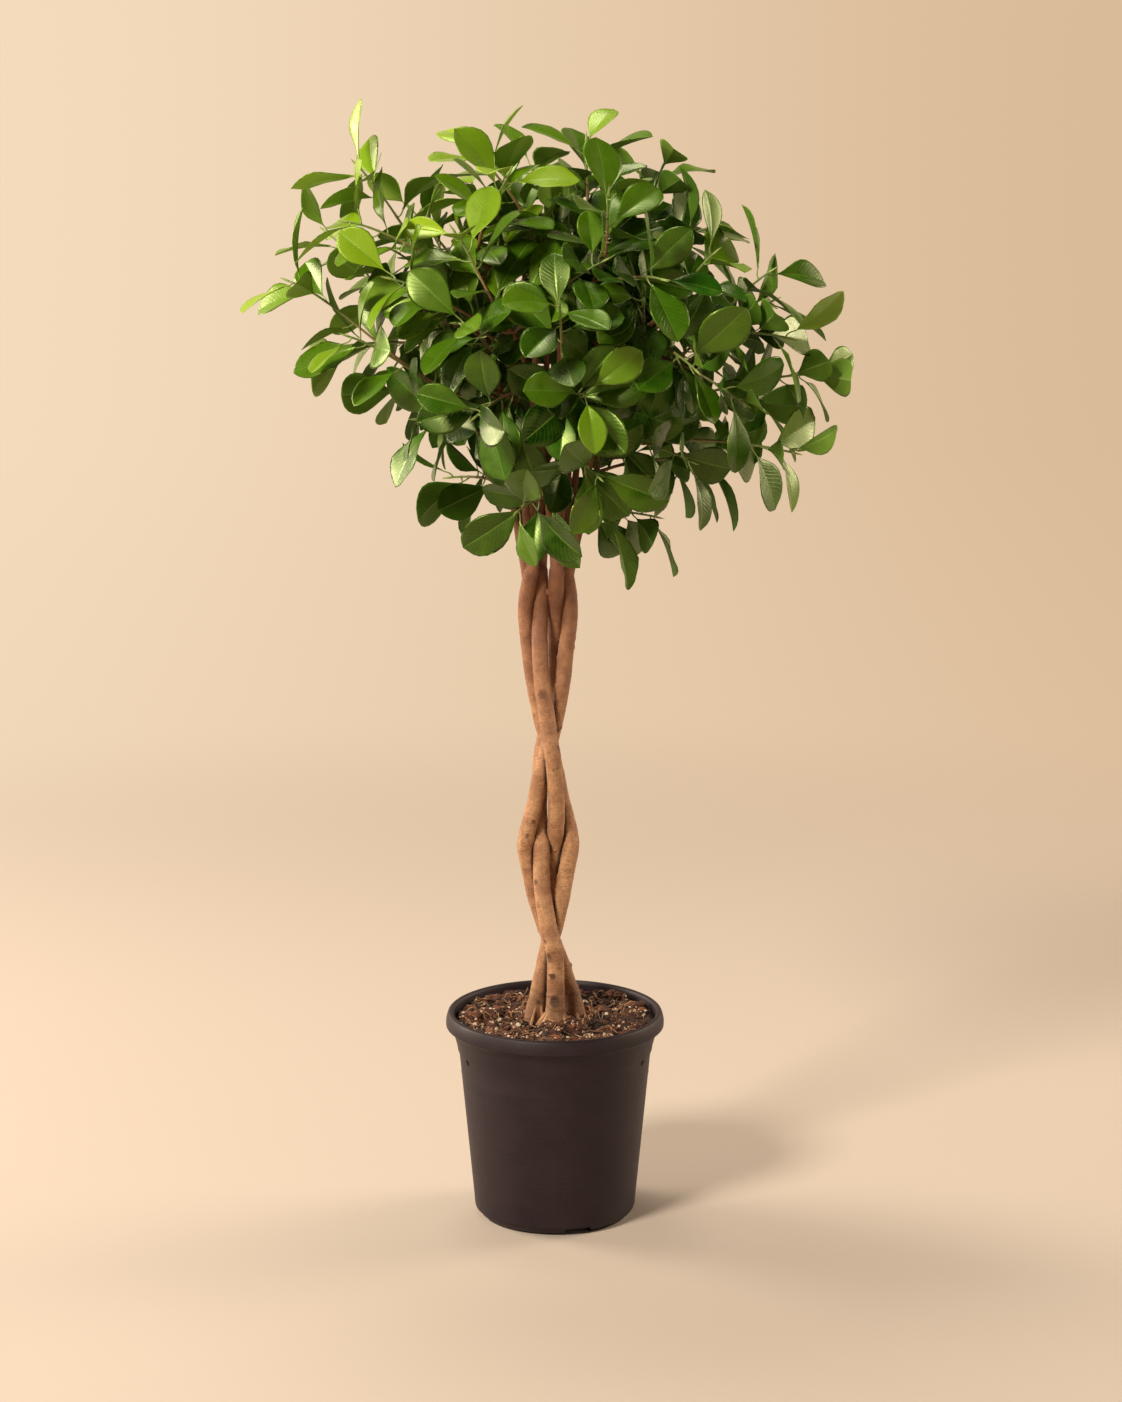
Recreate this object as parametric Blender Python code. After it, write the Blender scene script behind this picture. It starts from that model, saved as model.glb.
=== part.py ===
"""A fig grown as a small standard tree: four stems braided into one trunk, which carry a round head of
leafy shoots and stand in potting soil in a plastic nursery pot.

Metres, +Z up. The origin is on the floor, under the middle of the pot. The tree's best side looks along -Y.
"""

import math
import random
from collections import namedtuple
from itertools import combinations

import bmesh
import bpy
from mathutils import Matrix, Vector, noise
from mathutils.bvhtree import BVHTree

# ---- driving dimensions --------------------------------------------------------------------------
GAP = 0.0003  # between two pieces that touch

POT_HEIGHT = 0.190
RIM_RADIUS = 0.0983  # outside of the rolled rim
MOUTH_RADIUS = 0.0915
FOOT_RADIUS = 0.0670
POT_WALL = 0.0017
BASE_HEIGHT = 0.0060  # underside of the raised bottom
POT_SIDES = 36
FOOT_NOTCHES = 4
NOTCH_TURN = math.radians(-73)  # where the first notch lies, from +X
DRAIN_HOLES = 6
DRAIN_RADIUS = 0.0055
DRAIN_CIRCLE = 0.040

SOIL_EDGE = 0.1795  # height of the soil at the pot's wall
SOIL_MOUND = 0.0065  # how much higher it stands round the stems
SOIL_RELIEF = 0.0012

STEM_FOOT = 0.118  # lowest point of a stem, in the soil
STEM_TOP = 0.605  # where a stem forks into its limbs
STEM_RADIUS_LOW = 0.0070
STEM_RADIUS_TOP = 0.0059
STEM_FLARE = 0.0012  # how much wider a stem is where it leaves the soil
BRAID_PLAY = 1.05  # how far apart touching stems lie, as a share of their radii
BRAID_REACH = 0.0170  # from the middle of the braid to a stem that passes outside
BRAID_CORE = 0.0090  # and to one that passes inside
BRAID_LAG = math.radians(20)  # how far behind the side pair of stems the front and back pair turns
BRAID_CROSSING = 0.253  # where the stems from the left and right first cross
BRAID_TURN = 0.157  # height in which two stems would change places if the braid stayed as tight as there
BRAID_SLACKENING = 0.65  # how much slower it turns a metre higher
BRAID_START = 0.192  # below it they stand on the four sides of the soil
STEM_CROOK = 0.0020  # how far a stem wanders from the even braid
CROOK_SEED = 1795358779  # Blender seeds its vector noise by the clock unless it is given a seed
BRAID_LEAN = 0.006  # how far left of its foot the braid stands
FOOT_SPREAD = 0.024  # how much further out the buried ends are
STEM_SIDES = 8
STEM_RINGS = 40
BURIED_RINGS = 10  # how many of them, from the lowest, are in the soil or just above it

HEAD_CENTRE = Vector((0.003, 0.005, 0.804))
HEAD_RADII = Vector((0.165, 0.150, 0.1653))  # to the tips of the shoots; the leaves reach further
HEAD_SKIRT = 0.90  # sine of the angle below the centre where the lowest shoots end
SPRAY_BREADTH = 25  # degrees from the middle of a long spray to where it is half merged with the head
UNEVEN_REACH = 0.06  # how much longer or shorter a shoot is than its place asks for
LIMB_RISES = (74, 40, 8, -24)  # how steeply the limbs of one stem lean out, in degrees
LIMB_TURNS = (12, 30, -28, 2)  # how far each turns from the middle of its stem's quarter
LIMB_RADIUS = 0.0034
LIMB_TAPER = 0.42
LIMB_REACH = 0.58  # share of the way from the centre of the head to its skin
LIMB_SIDES = 6
SPIRAL_TIPS = 90  # even places over the head that shoots may fill
SHOOT_SPACING = 0.066  # between the tips of the shoots that fill the head
TWIG_RADIUS = 0.0015
TWIG_TAPER = 0.45
TWIG_SIDES = 4
SEAT_SPACING = 0.011  # between twigs on one limb
TWIG_CLEARANCE = 0.0008  # round a twig, besides its own thickness
BUD = 0.005  # length of the pointed bud that ends a shoot
INTERNODE = 0.0085  # between two leaves of a shoot
LEAF_SEAT = 0.0022  # length of twig that a leaf stalk grows from
LEAVES_PER_SHOOT = 5
LEAF_LENGTH = 0.053
LEAF_THICKNESS = 0.0009
STALK_RADIUS = 0.0006
GOLDEN_ANGLE = math.pi * (3 - math.sqrt(5))
SEED = 11

# Which way the limbs of each stem lean, as an angle round the trunk from +X.
LIMB_SECTORS = {"stem_1": 90, "stem_2": 0, "stem_3": 270, "stem_4": 180}

# Sprays that have outgrown the round of the head: degrees round it from +X, degrees above level, and how much
# further they reach, as a share of the head's own radius.
LONG_SPRAYS = ((180, 20, 0.45), (0, -15, 0.45), (270, -60, 0.10))

Leaf = namedtuple("Leaf", "seat around root direction normal stalk length width fold curl")
Shoot = namedtuple("Shoot", "number path bevel leaves")


# ---- small helpers -------------------------------------------------------------------------------
def material(name, colour, roughness):
    made = bpy.data.materials.new(name)
    made.use_nodes = True
    shader = made.node_tree.nodes["Principled BSDF"]
    shader.inputs["Base Color"].default_value = (*colour, 1)
    shader.inputs["Roughness"].default_value = roughness
    return made


def add_object(name, bm, surface):
    """Makes a scene object from bm, with its normals facing out."""
    bmesh.ops.recalc_face_normals(bm, faces=bm.faces)
    if bm.calc_volume(signed=True) < 0:
        bmesh.ops.reverse_faces(bm, faces=bm.faces)
    mesh = bpy.data.meshes.new(name)
    bm.to_mesh(mesh)
    bm.free()
    mesh.materials.append(surface)
    made = bpy.data.objects.new(name, mesh)
    bpy.context.scene.collection.objects.link(made)
    return made


def hide(cutter):
    cutter.hide_render = True
    cutter.display_type = "WIRE"
    return cutter


def boolean(target, tool, operation):
    change = target.modifiers.new(operation.lower(), "BOOLEAN")
    change.operation = operation
    change.solver = "EXACT"
    change.object = tool


def evenly(points, count):
    """count points at equal distances along a line of points."""
    reached = [0.0]
    for a, b in zip(points, points[1:]):
        reached.append(reached[-1] + (b - a).length)
    found, k = [], 0
    for i in range(count):
        wanted = reached[-1] * i / (count - 1)
        while k < len(points) - 2 and reached[k + 1] < wanted:
            k += 1
        share = (wanted - reached[k]) / max(reached[k + 1] - reached[k], 1e-9)
        found.append(points[k].lerp(points[k + 1], min(max(share, 0), 1)))
    return found


def tangents(path):
    return [(b - a).normalized() for a, b in zip([path[0], *path[:-1]], [*path[1:], path[-1]])]


def ring_frames(path):
    """For each point of the path its two directions across the path, carried along without twisting."""
    along = tangents(path)
    across = along[0].orthogonal().normalized()
    frames = []
    for way in along:
        across = (across - way * across.dot(way)).normalized()
        frames.append((across, way.cross(across)))
    return frames


def add_rings(bm, path, radii, sides, frames=None):
    """One ring of vertices round each point of the path."""
    rings = []
    for point, radius, (across, other) in zip(path, radii, frames or ring_frames(path)):
        turns = [2 * math.pi * (k + 0.5) / sides for k in range(sides)]
        spokes = [(across * math.cos(a) + other * math.sin(a)) * radius for a in turns]
        rings.append([bm.verts.new(point + spoke) for spoke in spokes])
    return rings


def tube(path, radii, sides):
    """A closed tube with flat ends."""
    bm = bmesh.new()
    rings = add_rings(bm, path, radii, sides)
    for low, high in zip(rings, rings[1:]):
        for k in range(sides):
            bm.faces.new((low[k], low[k - 1], high[k - 1], high[k]))
    bm.faces.new(rings[0])
    bm.faces.new(reversed(rings[-1]))
    return bm


def turned(profile, sides):
    """A closed (radius, height) outline turned about Z. A radius of 0 becomes one point."""
    bm = bmesh.new()
    columns = []
    for k in range(sides):
        turn = 2 * math.pi * k / sides
        columns.append([bm.verts.new((r * math.cos(turn), r * math.sin(turn), z)) for r, z in profile])
    for k in range(sides):
        near, far = columns[k - 1], columns[k]
        for i in range(len(profile)):
            bm.faces.new((near[i - 1], near[i], far[i], far[i - 1]))
    bmesh.ops.remove_doubles(bm, verts=bm.verts, dist=1e-6)
    return bm


def arc(centre, radius, first, last, count):
    """Points of a circle in the (radius, height) plane, between two angles in degrees."""
    angles = [math.radians(first + (last - first) * i / (count - 1)) for i in range(count)]
    return [(centre[0] + radius * math.cos(a), centre[1] + radius * math.sin(a)) for a in angles]


# ---- the pot -------------------------------------------------------------------------------------
def wall_radius(height):
    """Outside of the pot's tapered wall, under its neck."""
    low, high = (0.010, 0.0729), (0.150, 0.0862)
    return low[1] + (high[1] - low[1]) * (height - low[0]) / (high[0] - low[0])


def pot_profile():
    """The pot's cross-section: raised bottom, foot, tapered wall, stepped neck, rolled rim and the inside."""
    neck = (0.1560, 0.0879)
    under_rim = (0.1725, 0.0923)
    lip = 0.0050  # radius of the rim's rounding
    outside = [
        (0, BASE_HEIGHT),
        (FOOT_RADIUS - 0.0050, BASE_HEIGHT),
        (FOOT_RADIUS - 0.0035, 0),
        (FOOT_RADIUS, 0),
        (wall_radius(0) - 0.0034, 0.0018),
        (wall_radius(0) - 0.0009, 0.0062),
        (wall_radius(0.013), 0.013),
        (wall_radius(0.151), 0.151),
        (neck[1], neck[0]),
        (under_rim[1], under_rim[0]),
        (RIM_RADIUS - 0.0018, 0.1765),
        (RIM_RADIUS, 0.1795),
        (RIM_RADIUS - 0.0003, 0.1825),
    ]
    rounding = arc((RIM_RADIUS - 0.0003 - lip, POT_HEIGHT - lip), lip, 20, 90, 4)
    inside = [
        (MOUTH_RADIUS + 0.0005, POT_HEIGHT - 0.0005),
        (MOUTH_RADIUS, POT_HEIGHT - 0.0025),
        (under_rim[1] - POT_WALL, under_rim[0]),
        (wall_radius(0.151) - POT_WALL, 0.151),
        (wall_radius(0.012) - POT_WALL, 0.012),
        (wall_radius(0.012) - POT_WALL - 0.004, BASE_HEIGHT + POT_WALL),
        (0, BASE_HEIGHT + POT_WALL),
    ]
    return outside + rounding + inside


def make_pot(surface):
    pot = add_object("pot", turned(pot_profile(), POT_SIDES), surface)
    for i in range(FOOT_NOTCHES):
        turn = Matrix.Rotation(NOTCH_TURN + 2 * math.pi * i / FOOT_NOTCHES, 4, "Z")
        bm = bmesh.new()
        bmesh.ops.create_cube(bm, size=1)
        bmesh.ops.transform(bm, matrix=Matrix.Diagonal((0.020, 0.0245, 0.0114, 1)), verts=bm.verts)
        bmesh.ops.translate(bm, vec=(FOOT_RADIUS - 0.0005, 0, 0), verts=bm.verts)
        bmesh.ops.transform(bm, matrix=turn, verts=bm.verts)
        boolean(pot, hide(add_object(f"notch_cutter_{i + 1}", bm, surface)), "DIFFERENCE")
    for i in range(DRAIN_HOLES):
        turn = 2 * math.pi * i / DRAIN_HOLES
        at = Vector((DRAIN_CIRCLE * math.cos(turn), DRAIN_CIRCLE * math.sin(turn), BASE_HEIGHT))
        bm = tube([at - Vector((0, 0, 0.003)), at + Vector((0, 0, 0.006))], [DRAIN_RADIUS] * 2, 10)
        boolean(pot, hide(add_object(f"drain_cutter_{i + 1}", bm, surface)), "DIFFERENCE")
    return pot


# ---- the stems -----------------------------------------------------------------------------------
def stem_radius(height):
    """Radius of a stem: a slow taper, with a flare where it leaves the soil and a tapered end below."""
    share = (height - POT_HEIGHT) / (STEM_TOP - POT_HEIGHT)
    radius = STEM_RADIUS_LOW + (STEM_RADIUS_TOP - STEM_RADIUS_LOW) * max(share, 0) ** 0.6
    flare = STEM_FLARE * math.exp(-(((height - 0.185) / 0.014) ** 2))
    buried = min(1, 0.45 + 0.55 * (height - STEM_FOOT) / 0.05)
    fork = min(1, 0.60 + 0.40 * (STEM_TOP - height) / 0.012)
    return (radius + flare) * buried * fork


def press_apart(routes):
    """Slides the stems apart where they would lie in one another, as the strands of a tight braid do."""
    count = len(routes[0])
    wanted = [[point.copy() for point in route] for route in routes]
    for turn in range(320):
        ease = (0.20, 0.08, 0.0)[(turn > 120) + (turn > 240)]
        for route, places in zip(routes, wanted):
            means = [(low + high) / 2 for low, high in zip(route, route[2:])]
            for here, mean, place in zip(route[1:-1], means, places[1:-1]):
                here += (mean - here) * ease + (place - here) * ease * 0.4
        for route, other in combinations(routes, 2):
            for k, point in enumerate(route):
                near = min(other[max(k - 3, 0) : min(k + 4, count)], key=lambda p: (p - point).length)
                apart = point - near
                lacking = (stem_radius(point.z) + stem_radius(near.z)) * BRAID_PLAY + GAP * 3 - apart.length
                if lacking > 0:
                    push = Vector((apart.x * 0.6, apart.y, 0)).normalized() * lacking * 0.35
                    point += push
                    near -= push


def braid_point(number, height):
    """The middle of a stem at a height.

    Stems 2 and 4 circle the braid on a wide ellipse, stems 1 and 3 on a deep one the other way round, so each
    pair passes inside while the other passes outside. Under the first crossing stems 1 and 3 run straight down.
    """
    rise = max(height, BRAID_START) - BRAID_CROSSING
    turn = math.pi * rise * (1 - BRAID_SLACKENING * rise) / BRAID_TURN
    side = 1 if number < 2 else -1
    if number % 2:
        x, y = -side * BRAID_REACH * math.sin(turn), side * BRAID_CORE * math.cos(turn)
    else:
        turn = max(turn, 0) - BRAID_LAG * min(max(height - BRAID_START, 0) / 0.06, 1)
        x, y = side * BRAID_CORE * math.sin(turn), side * BRAID_REACH * math.cos(turn)
    below = max(BRAID_START - height, 0) / (BRAID_START - STEM_FOOT)
    out = 1 + FOOT_SPREAD / math.hypot(x, y) * below**1.5
    lean = BRAID_LEAN * min(max((height - POT_HEIGHT) / 0.1, 0), 1)
    crook = noise.noise_vector(Vector((number * 7, 0, height * 18))) * STEM_CROOK
    return Vector((x * out - lean + crook.x, y * out + crook.y, height))


def stem_paths():
    """The centrelines of the four stems, each with a point at the same heights."""
    noise.seed_set(CROOK_SEED)
    heights = [STEM_FOOT + (STEM_TOP - STEM_FOOT) * i / (STEM_RINGS - 1) for i in range(STEM_RINGS)]
    routes = [[braid_point(number, height) for height in heights] for number in range(len(LIMB_SECTORS))]
    press_apart(routes)
    return dict(zip(LIMB_SECTORS, routes))


# ---- where the limbs and shoots go ---------------------------------------------------------------
def bezier(a, b, c, d, count):
    found = []
    for i in range(count):
        t = i / (count - 1)
        found.append(a * (1 - t) ** 3 + b * 3 * t * (1 - t) ** 2 + c * 3 * t * t * (1 - t) + d * t**3)
    return found


def on_head(direction, share=1.0):
    """The point at this share of the way from the middle of the head to its skin."""
    return HEAD_CENTRE + Vector([d * r * share for d, r in zip(direction, HEAD_RADII)])


def compass(turn, rise):
    """A direction, from degrees round +X and degrees above level."""
    turn, rise = math.radians(turn), math.radians(rise)
    return Vector((math.cos(turn) * math.cos(rise), math.sin(turn) * math.cos(rise), math.sin(rise)))


def limb_radius(share):
    return LIMB_RADIUS * (1 - LIMB_TAPER * share)


def limb_radii(count):
    return [limb_radius(i / (count - 1)) for i in range(count)]


def limb_paths(stems):
    """Each stem's limbs: a fan that opens from the top of the stem into its own quarter of the head."""
    limbs = []
    for name, route in stems.items():
        for rise, turn in zip(LIMB_RISES, LIMB_TURNS):
            start = route[-2] if rise > 20 else route[-3]
            way = compass(LIMB_SECTORS[name] + turn, rise)
            end = on_head(way, LIMB_REACH if rise < 60 else LIMB_REACH * 0.85)
            side = Vector((way.x, way.y, 0))
            lift = Vector((0, 0, (end.z - start.z) * 0.45))
            path = bezier(start, start + lift + side * 0.02, end - side * 0.045 - lift * 0.2, end, 8)
            limbs.append((name, path))
    return limbs


def head_reach(way):
    """How far the head goes in a direction, as a share of its radii: further in its long sprays."""
    reach = 1
    for turn, rise, longer in LONG_SPRAYS:
        off = math.degrees(way.angle(compass(turn, rise)))
        reach += longer * 0.5 ** ((off / SPRAY_BREADTH) ** 2)
    return reach


def shoot_tips():
    """Where the shoots end: an even spiral over the head, with no two tips too close."""
    rng = random.Random(SEED)
    tips = []
    for i in range(SPIRAL_TIPS):
        rise = math.degrees(math.asin(1 - (i + 0.5) / SPIRAL_TIPS * (1 + HEAD_SKIRT)))
        way = compass(math.degrees(i * GOLDEN_ANGLE), rise)
        tip = on_head(way, head_reach(way) + rng.uniform(-UNEVEN_REACH, UNEVEN_REACH))
        if all((tip - other).length > SHOOT_SPACING for other in tips):
            tips.append(tip)
    return tips


def solid_tree(bm):
    """What a new piece is tested against: the surface of one in place, with its middle and its reach."""
    tree = BVHTree.FromBMesh(bm)
    corners = [v.co.copy() for v in bm.verts]
    bm.free()
    centre = sum(corners, Vector()) / len(corners)
    return tree, centre, max((c - centre).length for c in corners)


def clear_of(candidate, placed):
    tree, centre, reach = candidate
    for other, middle, extent in placed:
        if (middle - centre).length < reach + extent and tree.overlap(other):
            return False
    return True


def twig_path(limb, share, tip):
    """A twig from a limb, at this share of its length, to its tip, and the way its foot faces."""
    fine = evenly(limb, 41)
    k = round(share * 40)
    along = tangents(fine)[k]
    if share == 1:
        out = along
        start = fine[k] + out * GAP * 1.5
        leave = along
    else:
        aim = (tip - fine[k]).normalized()
        out = (aim - along * aim.dot(along)).normalized()
        start = fine[k] + out * (limb_radius(share) + GAP)
        leave = (out + along * 0.8).normalized()
    reach = (tip - start).length
    arch = Vector((0, 0, 0.07)) * reach
    return bezier(start, start + leave * reach * 0.3, tip - (tip - start) * 0.3 + arch, tip, 24), out


def twig_radius(share):
    return TWIG_RADIUS * (1 - TWIG_TAPER * share)


def add_twig_rings(bm, path, stops, bevel):
    """The rings of a twig at these shares of its length; the first is cut flat against its limb."""
    fine = evenly(path, 200)
    frames = ring_frames(fine)
    picked = [round(stop * 199) for stop in stops]
    points = [fine[k] for k in picked]
    radii = [twig_radius(stop) for stop in stops]
    rings = add_rings(bm, points, radii, TWIG_SIDES, [frames[k] for k in picked])
    along = (points[1] - points[0]).normalized()
    for vertex in rings[0]:
        vertex.co -= along * (vertex.co - points[0]).dot(bevel) / along.dot(bevel)
    return rings, points


def twig_alone(path, bevel, thicker=0.0):
    """A twig without leaves, as a closed body for the clearance tests."""
    bm = bmesh.new()
    rings, points = add_twig_rings(bm, path, [i / 10 for i in range(11)], bevel)
    for ring, point in zip(rings[1:], points[1:]):
        for vertex in ring:
            vertex.co += (vertex.co - point).normalized() * thicker
    for low, high in zip(rings, rings[1:]):
        for k in range(TWIG_SIDES):
            bm.faces.new((low[k - 1], low[k], high[k], high[k - 1]))
    bm.faces.new(rings[0])
    bm.faces.new(rings[-1])
    return solid_tree(bm)


def place_twigs(limbs, placed):
    """A twig for each tip, from the best free seat on a limb."""
    seats = []
    for _, limb in limbs:
        places = evenly(limb, 21)
        seats += [(limb, step / 20, places[step]) for step in range(4, 21)]
    shoots, taken = [], []
    for tip in shoot_tips():
        for limb, share, seat in sorted(seats, key=lambda s: seat_cost(tip, *s))[:90]:
            if any((seat - other).length < SEAT_SPACING for other in taken):
                continue
            path, bevel = twig_path(limb, share, tip)
            if clear_of(twig_alone(path, bevel, TWIG_CLEARANCE), placed):
                placed.append(twig_alone(path, bevel, GAP))
                taken.append(seat)
                shoots.append(Shoot(len(shoots), path, bevel, []))
                break
    return shoots


def seat_cost(tip, limb, share, seat):
    """Twigs start near their tip, lower than it, and turn as little as they can from the limb."""
    way = (limb[-1] - limb[-3]).normalized()
    rise = (tip - seat).normalized()
    return (tip - seat).length * (1.35 - 0.35 * rise.dot(way)) - 0.010 * (share == 1)


# ---- leaves --------------------------------------------------------------------------------------
def leaf_half_width(t):
    """Half a leaf's width at t of its length, as a share of its full width: widest just past the middle."""
    return 0.5 * math.sin(math.pi * min(max(t, 0), 1) ** 1.22) ** 0.72


def leaf_point(leaf, t, side, lift=0.0):
    """A point of a leaf's blade: t along it, side from -1 to 1 across it, lifted off it by a distance."""
    across = leaf.direction.cross(leaf.normal)
    bend = leaf.curl * t
    ahead = leaf.direction * math.cos(bend / 2) - leaf.normal * math.sin(bend / 2)
    raised = leaf.normal * math.cos(bend) + leaf.direction * math.sin(bend)
    half = leaf_half_width(t) * leaf.width * side
    middle = leaf.root + leaf.direction * leaf.stalk + ahead * leaf.length * t
    return middle + across * half * math.cos(leaf.fold) + raised * (abs(half) * math.sin(leaf.fold) + lift)


def blade_sections(leaf):
    """The cross-sections of a leaf, each left, under, right and over, then the tip."""
    across = leaf.direction.cross(leaf.normal)
    end = leaf.root + leaf.direction * leaf.stalk
    sides = (-across, -leaf.normal, across, leaf.normal)
    sections = [[end + side * STALK_RADIUS for side in sides]]
    for t in (0.30, 0.70):
        sections.append([
            leaf_point(leaf, t, -1),
            leaf_point(leaf, t, 0, -LEAF_THICKNESS / 2),
            leaf_point(leaf, t, 1),
            leaf_point(leaf, t, 0, LEAF_THICKNESS / 2),
        ])
    return sections, leaf_point(leaf, 1, 0)


def close_blade(bm, rings, tip):
    for low, high in zip(rings, rings[1:]):
        for k in range(4):
            bm.faces.new((low[k - 1], low[k], high[k], high[k - 1]))
    for k in range(4):
        bm.faces.new((rings[-1][k - 1], rings[-1][k], tip))


def leaf_alone(leaf):
    """A leaf from just outside its twig, as a closed body for the clearance tests."""
    sections, tip = blade_sections(leaf)
    shift = leaf.direction * (leaf.stalk - 0.0028)
    bm = bmesh.new()
    rings = [[bm.verts.new(p) for p in section] for section in [[p - shift for p in sections[0]], *sections]]
    bm.faces.new(rings[0])
    close_blade(bm, rings, bm.verts.new(tip))
    return solid_tree(bm)


def leaf_at(shoot, seat, number, attempt):
    """The leaf that grows at this seat of the twig; later attempts turn and shrink it."""
    rng = random.Random(f"{SEED}/{shoot.number}/{number}/{attempt}")
    fine = evenly(shoot.path, 60)
    k = round(seat * 59)
    way = tangents(fine)[k]
    across, other = ring_frames(fine)[k]
    outward = (fine[k] - HEAD_CENTRE).normalized()
    swing = attempt * 0.3 * (-1) ** attempt
    turn = shoot.number + number * GOLDEN_ANGLE + swing * 2 + rng.uniform(-0.3, 0.3)
    spread = math.radians((52 if number == 0 else 66) + rng.uniform(-9, 9))
    around = across * math.cos(turn) + other * math.sin(turn)
    direction = (way * math.cos(spread) + around * math.sin(spread) + outward * 0.2).normalized()
    if direction.dot(way) > 0.8:
        direction = (direction - way * (direction.dot(way) - 0.8) * 1.6).normalized()
    around = (direction - way * direction.dot(way)).normalized()
    light = Vector((0, 0, 0.6)) + outward * 1.1 + way * 0.2
    normal = (light - direction * light.dot(direction)).normalized()
    normal = Matrix.Rotation(rng.uniform(-0.4, 0.4), 3, direction) @ normal
    length = LEAF_LENGTH * rng.uniform(0.84, 1.14) * (0.88 if number == 0 else 1) * 0.93**attempt
    return Leaf(
        seat=seat,
        around=around,
        root=fine[k] + around * twig_radius(seat) * 0.7,
        direction=direction,
        normal=normal,
        stalk=rng.uniform(0.007, 0.011),
        length=length,
        width=length * rng.uniform(0.60, 0.72),
        fold=math.radians(rng.uniform(6, 18)),
        curl=rng.uniform(0.1, 0.6),
    )


def place_leaves(shoots, placed):
    """Leaves from the tips inwards, one to a shoot at a time, each turned until it touches nothing."""
    for number in range(LEAVES_PER_SHOOT):
        for shoot in shoots:
            seat = 1 - leaf_distance(shoot, number)
            for attempt in range(10):
                leaf = leaf_at(shoot, seat, number, attempt)
                body = leaf_alone(leaf)
                if clear_of(body, placed):
                    placed.append(body)
                    shoot.leaves.append(leaf)
                    break


def path_length(path):
    return sum((b - a).length for a, b in zip(path, path[1:]))


def leaf_distance(shoot, number):
    """How far below the tip a leaf sits, as a share of the twig's length; on a short twig they sit closer."""
    length = path_length(shoot.path)
    return (0.003 + min(INTERNODE, length * 0.7 / LEAVES_PER_SHOOT) * number) / length


def matching_order(corners, section):
    """How to number a leaf's cross-section so that it joins the twig's four corners without a twist."""
    orders = [[(turn + way * k) % 4 for k in range(4)] for way in (1, -1) for turn in range(4)]
    return min(orders, key=lambda order: sum((c.co - section[i]).length for c, i in zip(corners, order)))


def grow_leaf(bm, corners, leaf):
    """Closes the gap in a twig's side, whose corners are given in order, with a leaf on its stalk."""
    sections, tip = blade_sections(leaf)
    order = matching_order(corners, sections[0])
    rings = [corners] + [[bm.verts.new(section[i]) for i in order] for section in sections]
    close_blade(bm, rings, bm.verts.new(tip))


def make_shoot(shoot, surface):
    """One closed body: a twig that ends in a pointed bud, with its leaves grown out of its sides."""
    half = LEAF_SEAT / 2 / path_length(shoot.path)
    leaves = sorted(shoot.leaves, key=lambda leaf: leaf.seat)
    lowest = leaves[0].seat - half
    bare = math.ceil(lowest / 0.13)
    stops = [lowest * i / bare for i in range(bare)]
    seats = {}
    for leaf in leaves:
        seats[len(stops)] = leaf
        stops += [min(leaf.seat - half, 1 - 2 * half), min(leaf.seat + half, 1)]
    bm = bmesh.new()
    rings, points = add_twig_rings(bm, shoot.path, stops, shoot.bevel)
    for i, (low, high) in enumerate(zip(rings, rings[1:])):
        middle = (points[i] + points[i + 1]) / 2
        faces = [[low[k - 1], low[k], high[k], high[k - 1]] for k in range(TWIG_SIDES)]
        if i in seats:
            leaf = seats[i]
            outwards = [(sum((v.co for v in face), Vector()) / 4 - middle).dot(leaf.around) for face in faces]
            facing = faces[outwards.index(max(outwards))]
            faces.remove(facing)
            grow_leaf(bm, facing, leaf)
        for face in faces:
            bm.faces.new(face)
    bud = bm.verts.new(points[-1] + (shoot.path[-1] - shoot.path[-2]).normalized() * BUD)
    bm.faces.new(rings[0])
    for k in range(TWIG_SIDES):
        bm.faces.new((rings[-1][k - 1], rings[-1][k], bud))
    return add_object(f"leafy_shoot_{shoot.number + 1:02d}", bm, surface)


# ---- the soil ------------------------------------------------------------------------------------
def soil_height(x, y):
    """Top of the soil: mounded round the stems, with small lumps."""
    r = math.hypot(x, y)
    lumps = noise.noise(Vector((x, y, 0)) * 55) + 0.5 * noise.noise(Vector((x, y, 1)) * 120)
    return SOIL_EDGE + SOIL_MOUND * math.exp(-((r / 0.040) ** 2)) + SOIL_RELIEF * lumps


def make_soil(surface, buried):
    """The pot's filling, with a socket for each stem."""
    sides = 32
    rings = [0.012, 0.024, 0.036, 0.048, 0.060, 0.072, 0.0815]
    outline = [(0, BASE_HEIGHT + POT_WALL + GAP), (0.0655, BASE_HEIGHT + POT_WALL + GAP)]
    outline += [(wall_radius(z) - POT_WALL - GAP * 2, z) for z in (0.014, 0.149)]
    outline += [(0.0870, 0.1655), (0.0876, SOIL_EDGE)]
    outline += [(r, SOIL_EDGE) for r in reversed(rings)] + [(0, SOIL_EDGE)]
    bm = turned(outline, sides)
    for vertex in bm.verts:
        if vertex.co.z > SOIL_EDGE - 1e-4:
            vertex.co.z = soil_height(vertex.co.x, vertex.co.y)
    soil = add_object("potting_soil", bm, surface)
    for number, path in enumerate(buried):
        radii = [stem_radius(p.z) + GAP * 1.5 for p in path]
        radii[0] += 0.0002
        low = path[0] - (path[1] - path[0]).normalized() * GAP * 2
        cutter = tube([low, *path[1:]], radii, STEM_SIDES)
        boolean(soil, hide(add_object(f"socket_cutter_{number + 1}", cutter, surface)), "DIFFERENCE")
    return soil


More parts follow.
